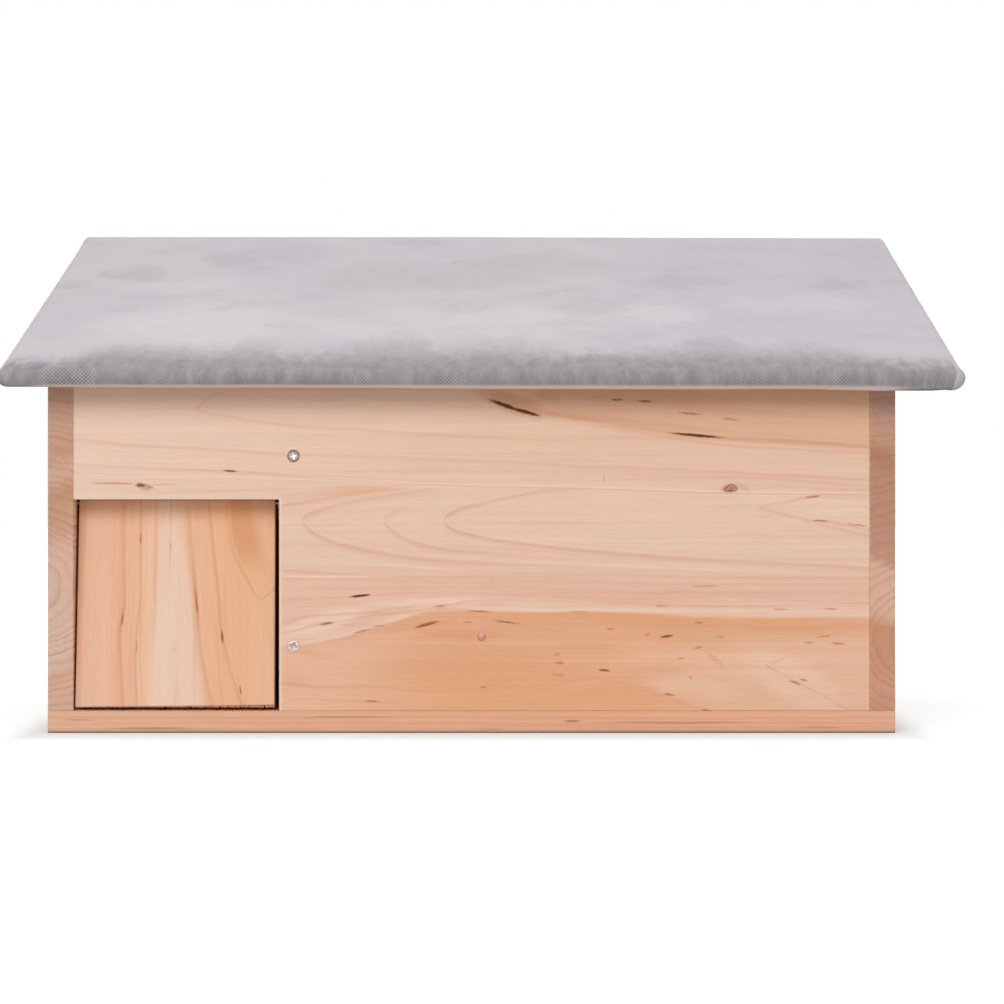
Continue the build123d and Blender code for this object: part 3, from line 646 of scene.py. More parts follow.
def hiddenBoardWood(d):
    # rings: the distance from a pith line that leans along the grain, over the ring pitch; knots bend them,
    # and each ring has a tone of its own
    made, f, shader = newMaterial(d["name"])
    axes = millimetres(f)
    along = axes[d["grain"]]
    u, v = [axes[i] for i in range(3) if i != d["grain"]]
    seed, pith = d["seed"], d["pith"]
    sway = f.cloud(along * 0.006, seed, 0.0, 1.0)
    du = u - along.line(pith[2], pith[0]) + sway * 5
    dv = v - along.line(pith[3], pith[1]) + sway * 3
    reach = f.place(du, dv).length()
    rough = f.cloud(along * 0.012, u * 0.07, v * 0.07 + seed, 3.0)
    ring = (reach + rough * 1.1) / d["pitch"] + f.cloud(reach * 0.045, seed * 1.7, 2.0, 1.0) * 1.4
    ring, near = bentByKnots(ring, f.place(*axes), d["knots"])
    dark, own = yearRings(ring)
    each = f.cloud(own, seed, 9.0, 0.0)
    lines = dark * (0.72 + each * 0.35)
    tint = f.cloud(along * 0.007, u * 0.035, v * 0.035 + seed * 3, 3.0)
    colour = (0.5 + tint * 0.55 + each * 0.18).mix(d["early"], d["blush"])
    colour = (lines * d["contrast"]).mix(colour, d["late"])
    hair = fibres(along, u, v)
    end = facing(f, d["grain"])
    colour = f.shade(colour, 1.0 + hair * 0.04 * (1.0 - end))
    colour, heart = drawKnots(colour, near)
    colour = (near.ramp(2.2, 1.0) * (1.0 - heart) * 0.25).mix(colour, d["late"])
    pores = f.cloud(u * 2.2, v * 2.2, along * 0.5, 2.0)
    colour = (end * 0.55).mix(colour, d["late"])
    colour = f.shade(colour, 1.0 + pores * end * 0.05)
    finish(f, shader, colour, 0.68 + hair * 0.05, hair * 0.3 - lines * 0.45 + pores * end * 0.4, 0.0002)
    return made


sideWood = {
    "early": tone(233, 196, 164), "late": tone(190, 128, 92), "blush": tone(224, 170, 132),
    "endLine": tone(166, 112, 82),
    # end is height, tone up the front end
    "left": {
        "name": "leftSideBoard", "pith": (-262.0, 92.0, 0.02, 0.05), "pitch": 4.6, "seed": 1.3,
        "knots": [((-241, -62, 118), (400, 10, 6.5)), ((-241, 88, 205), (400, 6, 4))],
        "end": [(14, tone(216, 174, 150)), (26, tone(218, 175, 151)), (33, tone(213, 168, 147)),
                (42, tone(221, 185, 166)), (66, tone(218, 181, 161)), (106, tone(216, 178, 157)),
                (117, tone(208, 160, 136)), (131, tone(200, 152, 126)), (139, tone(194, 145, 116)),
                (153, tone(212, 170, 147)), (163, tone(200, 154, 128)), (182, tone(200, 156, 131)),
                (210, tone(200, 156, 132))],
    },
    "right": {
        "name": "rightSideBoard", "pith": (268.0, 66.0, -0.02, 0.06), "pitch": 5.2, "seed": 5.9,
        "knots": [((241, 40, 92), (400, 8, 5.5)), ((241, -92, 172), (400, 5, 3.5))],
        "end": [(14, tone(203, 150, 121)), (26, tone(210, 156, 128)), (42, tone(204, 149, 116)),
                (62, tone(203, 146, 112)), (67, tone(212, 166, 138)), (72, tone(219, 176, 149)),
                (97, tone(219, 177, 152)), (103, tone(197, 147, 121)), (120, tone(192, 142, 118)),
                (136, tone(188, 140, 114)), (153, tone(186, 138, 112)), (162, tone(180, 128, 97)),
                (172, tone(196, 148, 121)), (182, tone(193, 150, 128)), (195, tone(188, 147, 128)),
                (210, tone(186, 143, 126))],
    },
}


def sideBoardWood(d):
    # grain runs front to back. Rings about a low pith show as arcs on the front end, whose tones follow
    # the height, and as long lines on the faces
    made, f, shader = newMaterial(d["name"])
    x, y, z = millimetres(f)
    seed, pith = d["seed"], d["pith"]
    sway = f.cloud(y * 0.006, seed, 0.0, 1.0)
    du = x - y.line(pith[2], pith[0]) + sway * 4
    dv = z - y.line(pith[3], pith[1]) + sway * 5
    reach = f.place(du * 0.8, dv).length()
    rough = f.cloud(y * 0.012, x * 0.08, z * 0.06 + seed, 3.0)
    ring = (reach + rough * 1.6) / d["pitch"] + f.cloud(reach * 0.05, seed * 1.7, 2.0, 1.0) * 1.2
    ring, near = bentByKnots(ring, f.place(x, y, z), d["knots"])
    dark, own = yearRings(ring)
    each = f.cloud(own, seed, 9.0, 0.0)
    lines = dark * (0.7 + each * 0.4)
    tint = f.cloud(y * 0.007, x * 0.04, z * 0.03 + seed * 3, 3.0)
    colour = (0.5 + tint * 0.55 + each * 0.18).mix(sideWood["early"], sideWood["blush"])
    colour = (lines * 0.6).mix(colour, sideWood["late"])
    hair = fibres(y, x, z)
    end = facing(f, 1)
    colour = f.shade(colour, 1.0 + hair * 0.04 * (1.0 - end))
    colour = drawKnots(colour, near)[0]
    swirl = f.cloud(x * 0.12, z * 0.09, seed + 4.0, 2.0)
    middle = house["halfWidth"] - house["sideThickness"] / 2
    cut = (z + (abs(x) - middle) * 0.35 + swirl * 2.2).tones(d["end"])
    cut = (lines * 0.34).mix(cut, sideWood["endLine"])
    pores = f.cloud(x * 1.3, z * 1.3, y * 0.5, 2.0)
    spots = f.cloud(x * 0.35, z * 0.28, seed, 3.0)
    cut = f.shade(cut, 1.0 + pores * 0.05 + spots * 0.05)
    bump = hair * 0.3 - lines * 0.45 + pores * end * 0.5
    finish(f, shader, end.mix(colour, cut), 0.68 + hair * 0.05 + end * 0.06, bump, 0.0002)
    return made


floorWood = {
    # share of the width, tone
    "tones": [(0.0, tone(229, 180, 151)), (0.35, tone(231, 177, 144)), (0.7, tone(232, 175, 140)),
              (1.0, tone(233, 178, 147))],
    "line": tone(194, 132, 94), "mark": tone(150, 96, 70), "end": tone(196, 142, 108), "pitch": 5.4,
    # half width, then x, height and strength along the line
    "rings": [
        (0.7, [(-249, 9.4, 0.5), (-120, 9.0, 0.55), (0, 9.6, 0.4), (140, 8.7, 0.5), (249, 9.2, 0.5)]),
        (0.6, [(-249, 5.6, 0.3), (-100, 6.2, 0.45), (60, 5.4, 0.5), (180, 6.1, 0.6), (249, 5.6, 0.5)]),
        (0.6, [(-249, 2.6, 0.45), (-160, 2.3, 0.6), (-60, 3.0, 0.4), (90, 2.2, 0.4), (249, 2.7, 0.5)]),
        (0.5, [(-30, 3.8, 0), (40, 4.1, 0.5), (130, 3.6, 0.5), (249, 4.0, 0.35)]),
    ],
    # x, z, half length, half breadth, tilt, strength
    "marks": [(-188, 2.7, 25, 0.7, 0, 0.5), (-73, 9.5, 26, 0.6, 0, 0.5), (59, 7.0, 5, 0.8, 0, 0.7),
              (121, 6.3, 46, 0.6, 0, 0.5), (205, 3.2, 12, 0.6, 0, 0.4), (-230, 7.5, 9, 0.6, 0, 0.4),
              (10, 2.2, 8, 0.5, 0, 0.4)],
}


def floorBoardWood():
    # grain runs left to right. The front edge has its own drawn lines; the faces have rings round a pith
    # that lies below
    d = floorWood
    made, f, shader = newMaterial("floorBoard")
    x, y, z = millimetres(f)
    sway = f.cloud(x * 0.005, 3.0, 0.0, 1.0)
    reach = f.place(y - x * 0.05 + 20.0 + sway * 8, z + 38.0).length()
    rough = f.cloud(x * 0.01, y * 0.06, z * 0.1, 3.0)
    ring = (reach + rough * 1.4) / d["pitch"] + f.cloud(reach * 0.04, 5.0, 2.0, 1.0) * 1.4
    front = y.ramp(house["front"] + 0.4, house["front"] + 0.1)
    tint = f.cloud(x * 0.006, y * 0.03, z * 0.1, 3.0)
    colour = (x.line(0.5 / house["halfWidth"], 0.5) + tint * 0.12).tones(d["tones"])
    zw = z + f.cloud(x * 0.02, z * 0.2, 8.0, 2.0) * 0.35
    lines = (grainLines(x, zw, d["rings"]) * front).most(yearRings(ring)[0] * (1.0 - front) * 0.85)
    colour = (lines * 0.6).mix(colour, d["line"])
    colour = (flecks(x, zw, d["marks"]) * front * 0.9).mix(colour, d["mark"])
    hair = fibres(x, y, z)
    # painted shade: a little darker along the top arris, and much darker along the foot, where the board
    # meets the ground
    edges = z.ramp(13.4, 11.2, 0.9, 1.0) * z.ramp(0.2, 2.1, 0.36, 1.0)
    colour = f.shade(colour, (1.0 + hair * 0.045 + tint * 0.02) * edges)
    colour = (facing(f, 0) * 0.55).mix(colour, d["end"])
    finish(f, shader, colour, 0.68 + hair * 0.05, hair, 0.00012)
    return made


# Felt

feltLook = {
    # the deep tone is painted shade on the roll, the warm one is light bounced from the wood and painted on
    # the hem, and the darkest is painted shade in creases
    "light": tone(213, 207, 211), "lilac": tone(202, 193, 203), "grey": tone(184, 179, 182),
    "pale": tone(223, 218, 221), "dark": tone(148, 143, 145), "deep": tone(137, 123, 122),
    "warm": tone(229, 206, 196), "fold": tone(92, 84, 86),
    "pitch": 2.35, "arris": 19.2,
    # painted shade in the creases by the left corner, drawn like the smudges
    "creaseShades": [(-269.5, -6, 9.0, 1.0, 78, 0.55), (-257, -17.2, 10.0, 0.8, 1, 0.5),
                (-260, -4, 8.0, 0.8, 84, 0.25), (-262, 10, 9, 1.2, 30, 0.3)],
    # the upper border of the darker band: place along the front edge, height up the slope
    "border": [(-275, 6), (-240, 8), (-222, 38), (-200, 52), (-182, 47), (-165, 36), (-150, 34), (-136, 56),
               (-120, 52), (-108, 32), (-90, 34), (-70, 46), (-58, 62), (-40, 72), (-30, 66), (-18, 38),
               (-4, 42), (12, 56), (26, 55), (42, 38), (60, 28), (80, 37), (104, 36), (120, 40), (136, 62),
               (150, 66), (165, 38), (180, 36), (196, 52), (212, 42), (232, 24), (250, 14), (285, 6)],
    # x, y up the slope, half length, half breadth, tilt, strength
    "smudges": [(-225, 268, 24, 28, 20, 0.9), (-268, 228, 16, 16, 0, 0.9), (-170, 318, 22, 22, 0, 0.9),
                (-30, 262, 74, 54, 0, 0.6), (40, 300, 60, 44, 0, 0.6), (135, 240, 34, 20, 0, 0.7),
                (240, 235, 20, 20, 0, 0.9), (72, 165, 30, 32, 0, 0.5), (-48, 228, 36, 26, 0, 0.5),
                (-92, 238, 13, 26, 0, 0.6), (60, 215, 20, 16, 0, 0.4), (-40, 372, 26, 20, 0, 0.6),
                (-190, 190, 36, 14, 0, 0.3), (-90, 140, 26, 12, 0, 0.3)],
    "lilacs": [(-124, 335, 28, 50, 0, 0.7), (-106, 188, 15, 18, 0, 0.6), (-106, 78, 18, 24, 0, 0.6),
               (266, 320, 26, 64, 0, 0.9), (205, 265, 110, 140, 0, 0.65), (180, 110, 100, 120, 0, 0.5),
               (150, 60, 38, 38, 0, 0.5), (-145, 285, 20, 36, 0, 0.5)],
    "lights": [(-170, 110, 66, 70, 0, 0.8), (10, 128, 76, 34, 0, 0.7), (118, 138, 30, 30, 0, 0.7),
               (-190, 225, 38, 22, 0, 0.5), (205, 168, 50, 32, 0, 0.5), (-80, 88, 60, 36, 0, 0.6),
               (30, 84, 60, 18, 0, 0.5)],
}


def feltMaterial():
    # on the flat cloth's own millimetres, up from the front arris: soft clouds and drawn smudges, a darker
    # band with a cloudy border by the front edge, and in patches a fine diamond emboss, |sin| times |sin| of
    # the two diagonals
    d = feltLook
    made, f, shader = newMaterial("roofFelt")
    flat = f.node("ShaderNodeUVMap", {"uv_map": "flat"}).parts()
    u, v = flat[0] * 1000.0, flat[1] * 1000.0
    up = v + d["arris"]
    broad = f.cloud(u * 0.012, v * 0.011, 0.0, 5.0, 0.6)
    patch = f.cloud(u * 0.024, v * 0.022, 6.0, 5.0, 0.62)
    other = f.cloud(u * 0.026, v * 0.024, 31.0, 4.0, 0.62)
    fine = f.cloud(u * 0.11, v * 0.045, 11.0, 4.0, 0.66)
    strands = f.cloud(u * 0.12, v * 0.045, 21.0, 4.0, 0.72)
    us, vs = u + patch * 22.0 + fine * 5.0, v + other * 22.0 + fine * 5.0
    colour = (0.3 + broad * 0.5).mix(d["light"], d["lilac"])
    colour = (flecks(us, vs, d["lilacs"]) * 0.8).mix(colour, d["lilac"])
    colour = (flecks(us, vs, d["lights"]) * 0.75).mix(colour, d["pale"])
    smudged = flecks(us, vs, d["smudges"]) * 0.45 + patch.ramp(0.0, 0.9) * 0.4
    colour = (smudged * (1.0 + fine * 0.6)).mix(colour, d["grey"])

    # the darker band; painted shade on the roll over the edge; light bounced from the wood, painted on the
    # hem's strip below it; and the ear at the right corner
    edge = u.curve(d["border"]) - v + patch * 8.0 + other * 8.0 + strands * 16.0
    band = edge.ramp(-28.0, 32.0) * v.ramp(46.0, -10.0, 0.33, 0.82)
    colour = (band * (1.0 + strands * 0.42)).mix(colour, d["dark"])
    # painted shade on the roll, which faces forward and down
    roll = up.ramp(1.0, -6.0) * up.ramp(-12.0, -9.0)
    colour = (roll * (0.4 + strands * 0.3)).mix(colour, d["deep"])
    # light bounced from the wood, painted warm on the hem's strip
    hemBouncedLight = up.ramp(-9.9, -12.4) * u.ramp(-262.0, -240.0) * u.ramp(262.0, 240.0)
    colour = (hemBouncedLight * 0.95).mix(colour, d["warm"])
    ear = u.ramp(280.6, 281.4) * v.ramp(14.0, 2.0)
    colour = (ear * 0.6).mix(colour, d["light"])
    # painted shade in the creases by the left corner
    colour = (flecks(u, v, d["creaseShades"]) * 0.8).mix(colour, d["fold"])

    # the emboss, clear in patches of the front roll and by its left end, and lint all over
    bend = f.cloud(u * 0.03, v * 0.03, 2.0, 1.0) * 0.6
    k = math.pi / d["pitch"]
    studs = abs(((u + v) * k + bend).sine()) * abs(((u - v) * k - bend).sine())
    worn = f.cloud(u * 0.035, v * 0.08, 15.0, 4.0, 0.65)
    patches = worn.ramp(-0.3, 0.8) * u.ramp(-262.0, -252.0) * 0.8
    clear = patches.most(u.ramp(-254.0, -246.0) * u.ramp(-214.0, -220.0)) * up.ramp(24.0, 2.0) + 0.06
    lint = f.cloud(u * 0.9, v * 0.9, 4.0, 3.0, 0.75)
    colour = f.shade(colour, 1.0 + (studs - 0.4) * clear * 0.9 + lint * (0.024 + band * 0.05) + fine * 0.012)
    # painted shade in the seam grooves and under the lip at the right corner, from values on the mesh
    colour = f.attribute("fold").mix(colour, d["fold"])
    bump = studs * clear * 0.8 + lint * 0.4 + patch * 0.4
    finish(f, shader, colour, 0.86 - studs * clear * 0.12, bump, 0.0004)
    return made


feltShape = {
    "left": -275.0, "right": 285.0, "front": -24.4, "rear": 395.6,
    "corner": 7.2, "rearCorner": 1.0,  # radii of the corners, seen from above
    "middle": 4.0, "roll": 5.2,  # the rolled edge's middle, up from the board's underside, and its radius
    "hem": 16.0, "thick": 0.8, "ripple": 0.35,
    "seam": 5.0, "seamDepth": 0.75, "seamWidth": 0.55, "ear": 0.9,
    "fullness": {"right": 1.7, "left": 1.2},
    # how far the front hem hangs below the roll, and how far the rear edge stands up, along x
    "hang": [(-285, -0.25), (-253, -0.25), (-218, 0.09), (-159, 0.19), (-101, 0.24), (17, 1.08), (134, 1.32),
             (193, 1.07), (222, 1.95), (240, 2.25), (268, 2.15), (276, 1.6), (284, 2.4), (290, 2.4)],
    "rise": [(-275, 1.4), (0, 1.4), (120, 0.9), (285, 0.5)],
    # spacing of the mesh's columns by a front corner, how far that goes, and spacing elsewhere
    "fine": 0.45, "close": 15.0, "coarse": 4.5, "cornerSteps": 14, "hemRows": 5, "rollRows": 26,
}


def makeFelt():
    # Columns go round the lid, over four sides and four corner arcs. Rows go across its edge: the hem under
    # the board, a round roll, then rings that shrink to the middle. A point is the outline moved in by the
    # inset and up by the height. Ripples are sums of sines, and the seam by each front corner is a groove
    # shaped like a bell
    d = feltShape
    rolled = d["roll"]

    def steps(length, first, last):
        # places along a side as shares of its length, close together near a front corner
        close = np.arange(0, d["close"], d["fine"])
        start = close if first else np.array([0.0, 2.0, 5.0, 9.0])
        end = length - (close[::-1] if last else np.array([7.0, 4.0, 2.0, 0.0]))
        low = start[-1] + d["fine"] * 4
        high = length - (d["close"] if last else 9)
        return np.concatenate([start, np.linspace(low, high, int((high - low) / d["coarse"])), end]) / length

    # each column: the two corners that it lies between, its share of the way, the way it faces, and its side
    wide = d["right"] - d["left"] - 2 * d["corner"]
    deep = d["rear"] - d["front"] - 2 * d["corner"]
    sides = [(wide, True, True), (deep, True, False), (wide, False, False), (deep, False, True)]
    columns = []
    for i, (length, first, last) in enumerate(sides):
        along = steps(length, first, last)
        arc = np.arange(1, d["cornerSteps"]) / d["cornerSteps"]
        base = -90.0 + 90.0 * i
        after = (i + 1) % 4
        none = 0 * arc
        columns.append(np.stack([0 * along + i, 0 * along + after, along, 0 * along + base, 0 * along + i]))
        columns.append(np.stack([none + after, none + after, none, base + 90.0 * arc, none + i + 0.5]))
    one, two, share, angle, side = np.concatenate(columns, axis=1)
    one, two = one.astype(int), two.astype(int)
    nx, ny = np.cos(np.radians(angle)), np.sin(np.radians(angle))

    def around(inset):
        # the outline moved in by inset: corner centres, joined by straight lines, plus the corner radius
        inset = np.broadcast_to(np.asarray(inset, float), share.shape)
        signX, signY = np.array([-1, 1, 1, -1]), np.array([-1, -1, 1, 1])
        edgeX = np.where(signX > 0, d["right"], d["left"])
        edgeY = np.where(signY > 0, d["rear"], d["front"])

        def near(k):
            radius = np.maximum(np.where(signY[k] > 0, d["rearCorner"], d["corner"]) - inset, 0.5)
            c = inset + radius
            return edgeX[k] - signX[k] * c + nx * radius, edgeY[k] - signY[k] * c + ny * radius

        (ax, ay), (bx, by) = near(one), near(two)
        return ax + (bx - ax) * share, ay + (by - ay) * share

    x0, y0 = around(rolled)
    # 1 where a hem lies under the board: the front and both sides, up to one hem from the rear
    hemmed = 1.0 / (1.0 + np.exp((y0 - (d["rear"] - d["hem"])) / 0.35))
    hemmed = np.where((side == 2) | (side == 1.5), 0.0, hemmed)
    low = np.radians(-50 - 40 * hemmed)
    full = d["fullness"]["right"] * np.clip(nx, 0, 1) + d["fullness"]["left"] * np.clip(-nx, 0, 1)
    swing = 0.16 * np.sin(y0 * 1.9 + 1) + 0.14 * np.sin(y0 * 0.83) + 0.12 * np.sin(y0 * 3.7 + 2)
    full = full + np.abs(nx) * swing
    hang = np.interp(x0, *zip(*d["hang"]))
    rise = np.interp(x0, *zip(*d["rise"]))
    frontness = 1.0 / (1.0 + np.exp((y0 - (d["front"] + 12)) / 1.6))
    rows, uv, foldShades = [], [], []

    def rearness(y):
        # a smooth step from 0 to 1 towards the rear edge
        part = np.clip((y - (d["rear"] - 55)) / 50, 0, 1)
        return part ** 2 * (3 - 2 * part)

    def addRow(inset, z, flat, swell, creaseShade):
        # swell pushes the felt outwards; the last is how dark the painted shade in the fold is drawn
        x, y = around(inset)
        rows.append(np.stack([x + nx * swell, y + ny * swell, z + 0 * x], 1))
        uv.append(np.stack(around(flat), 1))
        foldShades.append(creaseShade)

    fromLeft, fromRight = x0 - d["left"], d["right"] - x0
    gapRight = np.abs(fromRight - d["seam"]) * (side == 0) + 99 * (side != 0)
    gapLeft = np.abs(fromLeft - d["seam"]) * (side == 0) + 99 * (side != 0)
    groove = np.exp(-(gapRight / d["seamWidth"]) ** 2) + np.exp(-(gapLeft / d["seamWidth"]) ** 2) * 0.8
    # the ear: full round the corner, gone at the seam and 16 mm back along the side
    back = y0 - d["front"]
    nearSeam = np.clip((d["seam"] - np.minimum(fromRight, fromLeft)) / 1.6, 0, 1)
    ear = np.where(side == 0, nearSeam, np.exp(-np.maximum(back - 6, 0) ** 2 / 120.0))
    ear = ear * np.where(x0 > 0, 1.0, 0.2) * (back < 60)

    for k in range(d["hemRows"]):
        g = k / d["hemRows"]
        bare = rolled * (1 - np.cos(low)) + 0.3 * (1 - g)
        inset = np.where(hemmed > 0.5, d["hem"] + (rolled - d["hem"]) * g, bare)
        sag = 0.25 * np.sin(x0 * 0.11) * hemmed * (1 - g) - hang * frontness * g
        z = d["middle"] + rolled * np.sin(low) + sag
        addRow(inset, z, rolled - math.pi * rolled - (1 - g) * (d["hem"] - rolled), 0 * x0, 0 * x0)
    for k in range(d["rollRows"] + 1):
        a = low + (math.pi / 2 - low) * k / d["rollRows"]
        degrees = np.degrees(a)
        face = np.maximum(np.cos(a), 0) ** 0.6
        ripple = 0.6 * np.sin(x0 * 0.071 + 1.1) + 0.4 * np.sin(x0 * 0.163 + 0.4)
        ripple = d["ripple"] * ripple * face * frontness
        droop = rise * rearness(y0) * (1 + np.sin(a)) / 2 - hang * frontness * np.maximum(-np.sin(a), 0)
        swell = ripple * 0.7 + (ear * d["ear"] + full) * face - groove * d["seamDepth"] * np.cos(a * 0.8)
        lip = np.exp(-((degrees + 66) / 9.0) ** 2) * np.clip((x0 - 240) / 22, 0, 1)
        lip = lip * (side == 0) * (fromRight > d["seam"] - 0.5)
        z = d["middle"] + rolled * np.sin(a) + droop + lip * 0.35
        # painted shade in the seam grooves and under the lip
        creaseShade = np.clip(groove * 0.5 * (degrees < 62), 0, 1) + lip * 0.85
        flat = rolled - (math.pi / 2 - a) * rolled
        addRow(rolled * (1 - np.cos(a)), z, flat, swell, np.clip(creaseShade, 0, 1))
    for inset in np.concatenate([rolled + 0.9 * np.arange(1, 9), np.linspace(15, 209, 34)]):
        x, y = around(inset)
        lift = np.clip((inset - rolled) / 22, 0, 1)
        wave = 0.32 * np.sin(x * 0.019 + y * 0.011 + 0.6) + 0.22 * np.sin(x * 0.043 - y * 0.031 + 2.0)
        wave = wave + 0.12 * np.sin(x * 0.09 + y * 0.07)
        z = d["middle"] + rolled + lift * (wave - 0.2) + rise * rearness(y)
        addRow(inset, z, inset, -groove * 0.15 * (inset < 9), 0 * x0)

    points = np.stack(rows)
    count, ring = points.shape[:2]
    px, py, pz = points.reshape(-1, 3).T
    origin = lidPlace["front"]
    world = np.stack([px + origin[0], py * slopeCos - pz * slopeSin + origin[1],
                      py * slopeSin + pz * slopeCos + origin[2]], 1)
    cap = list(range((count - 1) * ring, count * ring))
    piece = newPiece("felt_cover", world, ringFaces(count, ring).tolist() + [cap], "lid", feltMaterial())
    layer = piece.data.uv_layers.new(name="flat")
    corner = np.zeros(len(piece.data.loops), np.int32)
    piece.data.loops.foreach_get("vertex_index", corner)
    layer.data.foreach_set("uv", (np.concatenate(uv) / 1000)[corner].astype(np.float32).ravel())
    addValues(piece, "fold", np.concatenate(foldShades))
    skin = piece.modifiers.new("thickness", "SOLIDIFY")
    skin.thickness = d["thick"] / 1000
    skin.offset = -1.0
    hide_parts("roof_felt")


# Pieces and metal

def newPiece(name, points, faces, body, material):
    # a smooth mesh from an array of points, in millimetres, and its faces
    mesh = bpy.data.meshes.new(name)
    mesh.from_pydata((points / 1000).tolist(), [], faces)
    mesh.update()
    piece = bpy.data.objects.new(name, mesh)
    bpy.context.scene.collection.objects.link(piece)
    mesh.materials.append(material)
    mesh.polygons.foreach_set("use_smooth", np.full(len(mesh.polygons), True))
    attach(piece, body)
    return piece


def addValues(piece, name, values):
    # a number for each point, which the material reads
    mark = piece.data.attributes.new(name, "FLOAT", "POINT")
    mark.data.foreach_set("value", values.astype(np.float32))


def ringFaces(rows, ring):
    # the quads between neighbouring rows of a grid that closes on itself
    i, j = np.meshgrid(np.arange(rows - 1), np.arange(ring), indexing="ij")
    n = (j + 1) % ring
    return np.stack([i * ring + j, i * ring + n, (i + 1) * ring + n, (i + 1) * ring + j], -1).reshape(-1, 4)


def turned(radii, heights, count):
    # a profile turned about its axis: across, upright and along the axis, and the radius, at each point
    angle = np.arange(count) * 2 * math.pi / count
    radius, angle = np.meshgrid(radii, angle, indexing="ij")
    return radius * np.cos(angle), radius * np.sin(angle), np.repeat(heights[:, None], count, 1), radius


def closePoles(piece):
    # welds the points that meet at a pole and turns the faces outwards
    grid = bmesh.new()
    grid.from_mesh(piece.data)
    bmesh.ops.remove_doubles(grid, verts=grid.verts, dist=1e-6)
    bmesh.ops.recalc_face_normals(grid, faces=grid.faces)
    grid.to_mesh(piece.data)
    grid.free()
    piece.data.update()


def cadPoints(node):
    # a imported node's points in millimetres
    vertices = nodes[node].data.vertices
    points = np.zeros(len(vertices) * 3, np.float32)
    vertices.foreach_get("co", points)
    return points.reshape(-1, 3).astype(float) * 1000


# scale and stretch are of the blotches and the scratches; the recess and edge strengths are how strongly the
# tones of the cross's recess and of the rim show
metals = {
    "brightZinc": {
        "bright": tone(214, 198, 186), "dull": tone(190, 174, 164), "rough": 0.42, "scale": 0.5,
        # the recess tone here is painted shade, darker in the cross's recess
        "dirt": 0.6, "dirtTone": tone(128, 112, 102), "edge": 0.5, "edgeTone": tone(168, 138, 114),
    },
    "stainedAndShadedZinc": {
        "bright": tone(176, 164, 158), "dull": tone(126, 112, 104), "rough": 0.5, "scale": 0.5,
        # the recess tone here is a painted highlight, bright in the cross's recess; the rim tone is grime
        # with painted shade of the countersink
        "dirt": 0.95, "dirtTone": tone(240, 234, 232), "edge": 0.95, "edgeTone": tone(74, 56, 46),
    },
    "pinSteel": {"bright": tone(206, 154, 138), "dull": tone(172, 118, 104), "rough": 0.55, "scale": 0.8},
    "hingeZinc": {
        "bright": tone(222, 220, 216), "dull": tone(186, 186, 190), "rough": 0.36, "scale": 0.12,
        "stretch": (0.1, 1.0, 1.0),
    },
    "stapleWire": {"bright": tone(206, 206, 208), "dull": tone(164, 162, 162), "rough": 0.35, "scale": 0.4},
    "nailSteel": {"bright": tone(196, 192, 188), "dull": tone(142, 138, 138), "rough": 0.42, "scale": 0.5},
}


def metalMaterial(name):
    # blotches between two tones, and fine scratches in roughness and bump; the cross's recess is toned where
    # the mesh's recess values are high, with painted shade on some heads and a painted highlight on others,
    # and the rim is toned where its "edge" values are
    d = metals[name]
    made, f, shader = newMaterial(name)
    x, y, z = millimetres(f)
    scale = d["scale"]
    alongX, alongY, alongZ = d.get("stretch", (1.0, 1.0, 1.0))
    blotch = f.cloud(x * scale, y * scale, z * scale, 4.0, 0.6)
    fine = f.cloud(x * 3.0 * alongX, y * 3.0 * alongY, z * 3.0 * alongZ, 3.0, 0.6)
    colour = (0.5 + blotch * 0.5).mix(d["bright"], d["dull"])
    if "dirt" in d:
        # the recess tone: painted shade on the bright heads, a painted highlight on the stained ones
        colour = (f.attribute("dirt") * d["dirt"] * (0.85 + fine * 0.15)).mix(colour, d["dirtTone"])
        colour = (f.attribute("edge") * d["edge"] * (0.8 + blotch * 0.3)).mix(colour, d["edgeTone"])
    rough = d["rough"] + blotch * 0.06 + fine * 0.05
    finish(f, shader, colour, rough, fine * 0.3 + blotch * 0.3, 0.00006, 1.0)
    return made


screwShape = {
    "head": 3.7, "dome": 0.28, "rim": 0.25, "cone": 3.2, "shank": 1.45, "arm": 2.5, "slot": 0.8, "deep": 1.3,
    "headRings": 20, "round": 64, "hingeSize": 0.7,
    "sink": 0.03, "sinkBelow": 0.08,  # how far a head lies under the wood's face, and under the floor board's
    "shownLength": 28.0,  # of the side screws, whose node holds those of both sides
    "turns": [8, -20, 33, 15, -38, 27, -9, 41],  # degrees, one head after another
}


def screwForm(length):
    # a turned profile with a cross pressed into the head: the larger of two bars whose depth falls off
    # towards their ends. With it come how deep each point is pressed and how near it is to the rim
    d = screwShape
    rim = np.linspace(0, 1, d["headRings"]) * d["head"]
    top = d["dome"] * (1 - (rim / d["head"]) ** 2)
    radii = np.concatenate([rim, [d["head"] + 0.02, d["head"], d["shank"], d["shank"], 0.35, 0.0]])
    heights = np.concatenate([top, [-0.12, -d["rim"], -d["cone"], -length * 0.72, -length + 0.2, -length]])
    x, y, z, radius = turned(radii, heights, d["round"])
    onTop = (np.arange(len(radii)) < d["headRings"])[:, None]

    def bar(a, b):
        taper = np.abs(a) / d["arm"]
        across = np.clip((d["slot"] * (1.25 - 0.35 * taper) - np.abs(b)) / 0.22, 0, 1)
        across = across * np.clip((d["arm"] - np.abs(a)) / 0.35, 0, 1)
        return across * (0.55 + 0.45 * np.clip(1 - taper, 0, 1))

    press = np.maximum(bar(x, y), bar(y, x)) * onTop
    edge = np.where(onTop, np.clip((radius / d["head"] - 0.66) / 0.24, 0, 1), 1.0)
    return x, y, z - press * d["deep"], press, edge


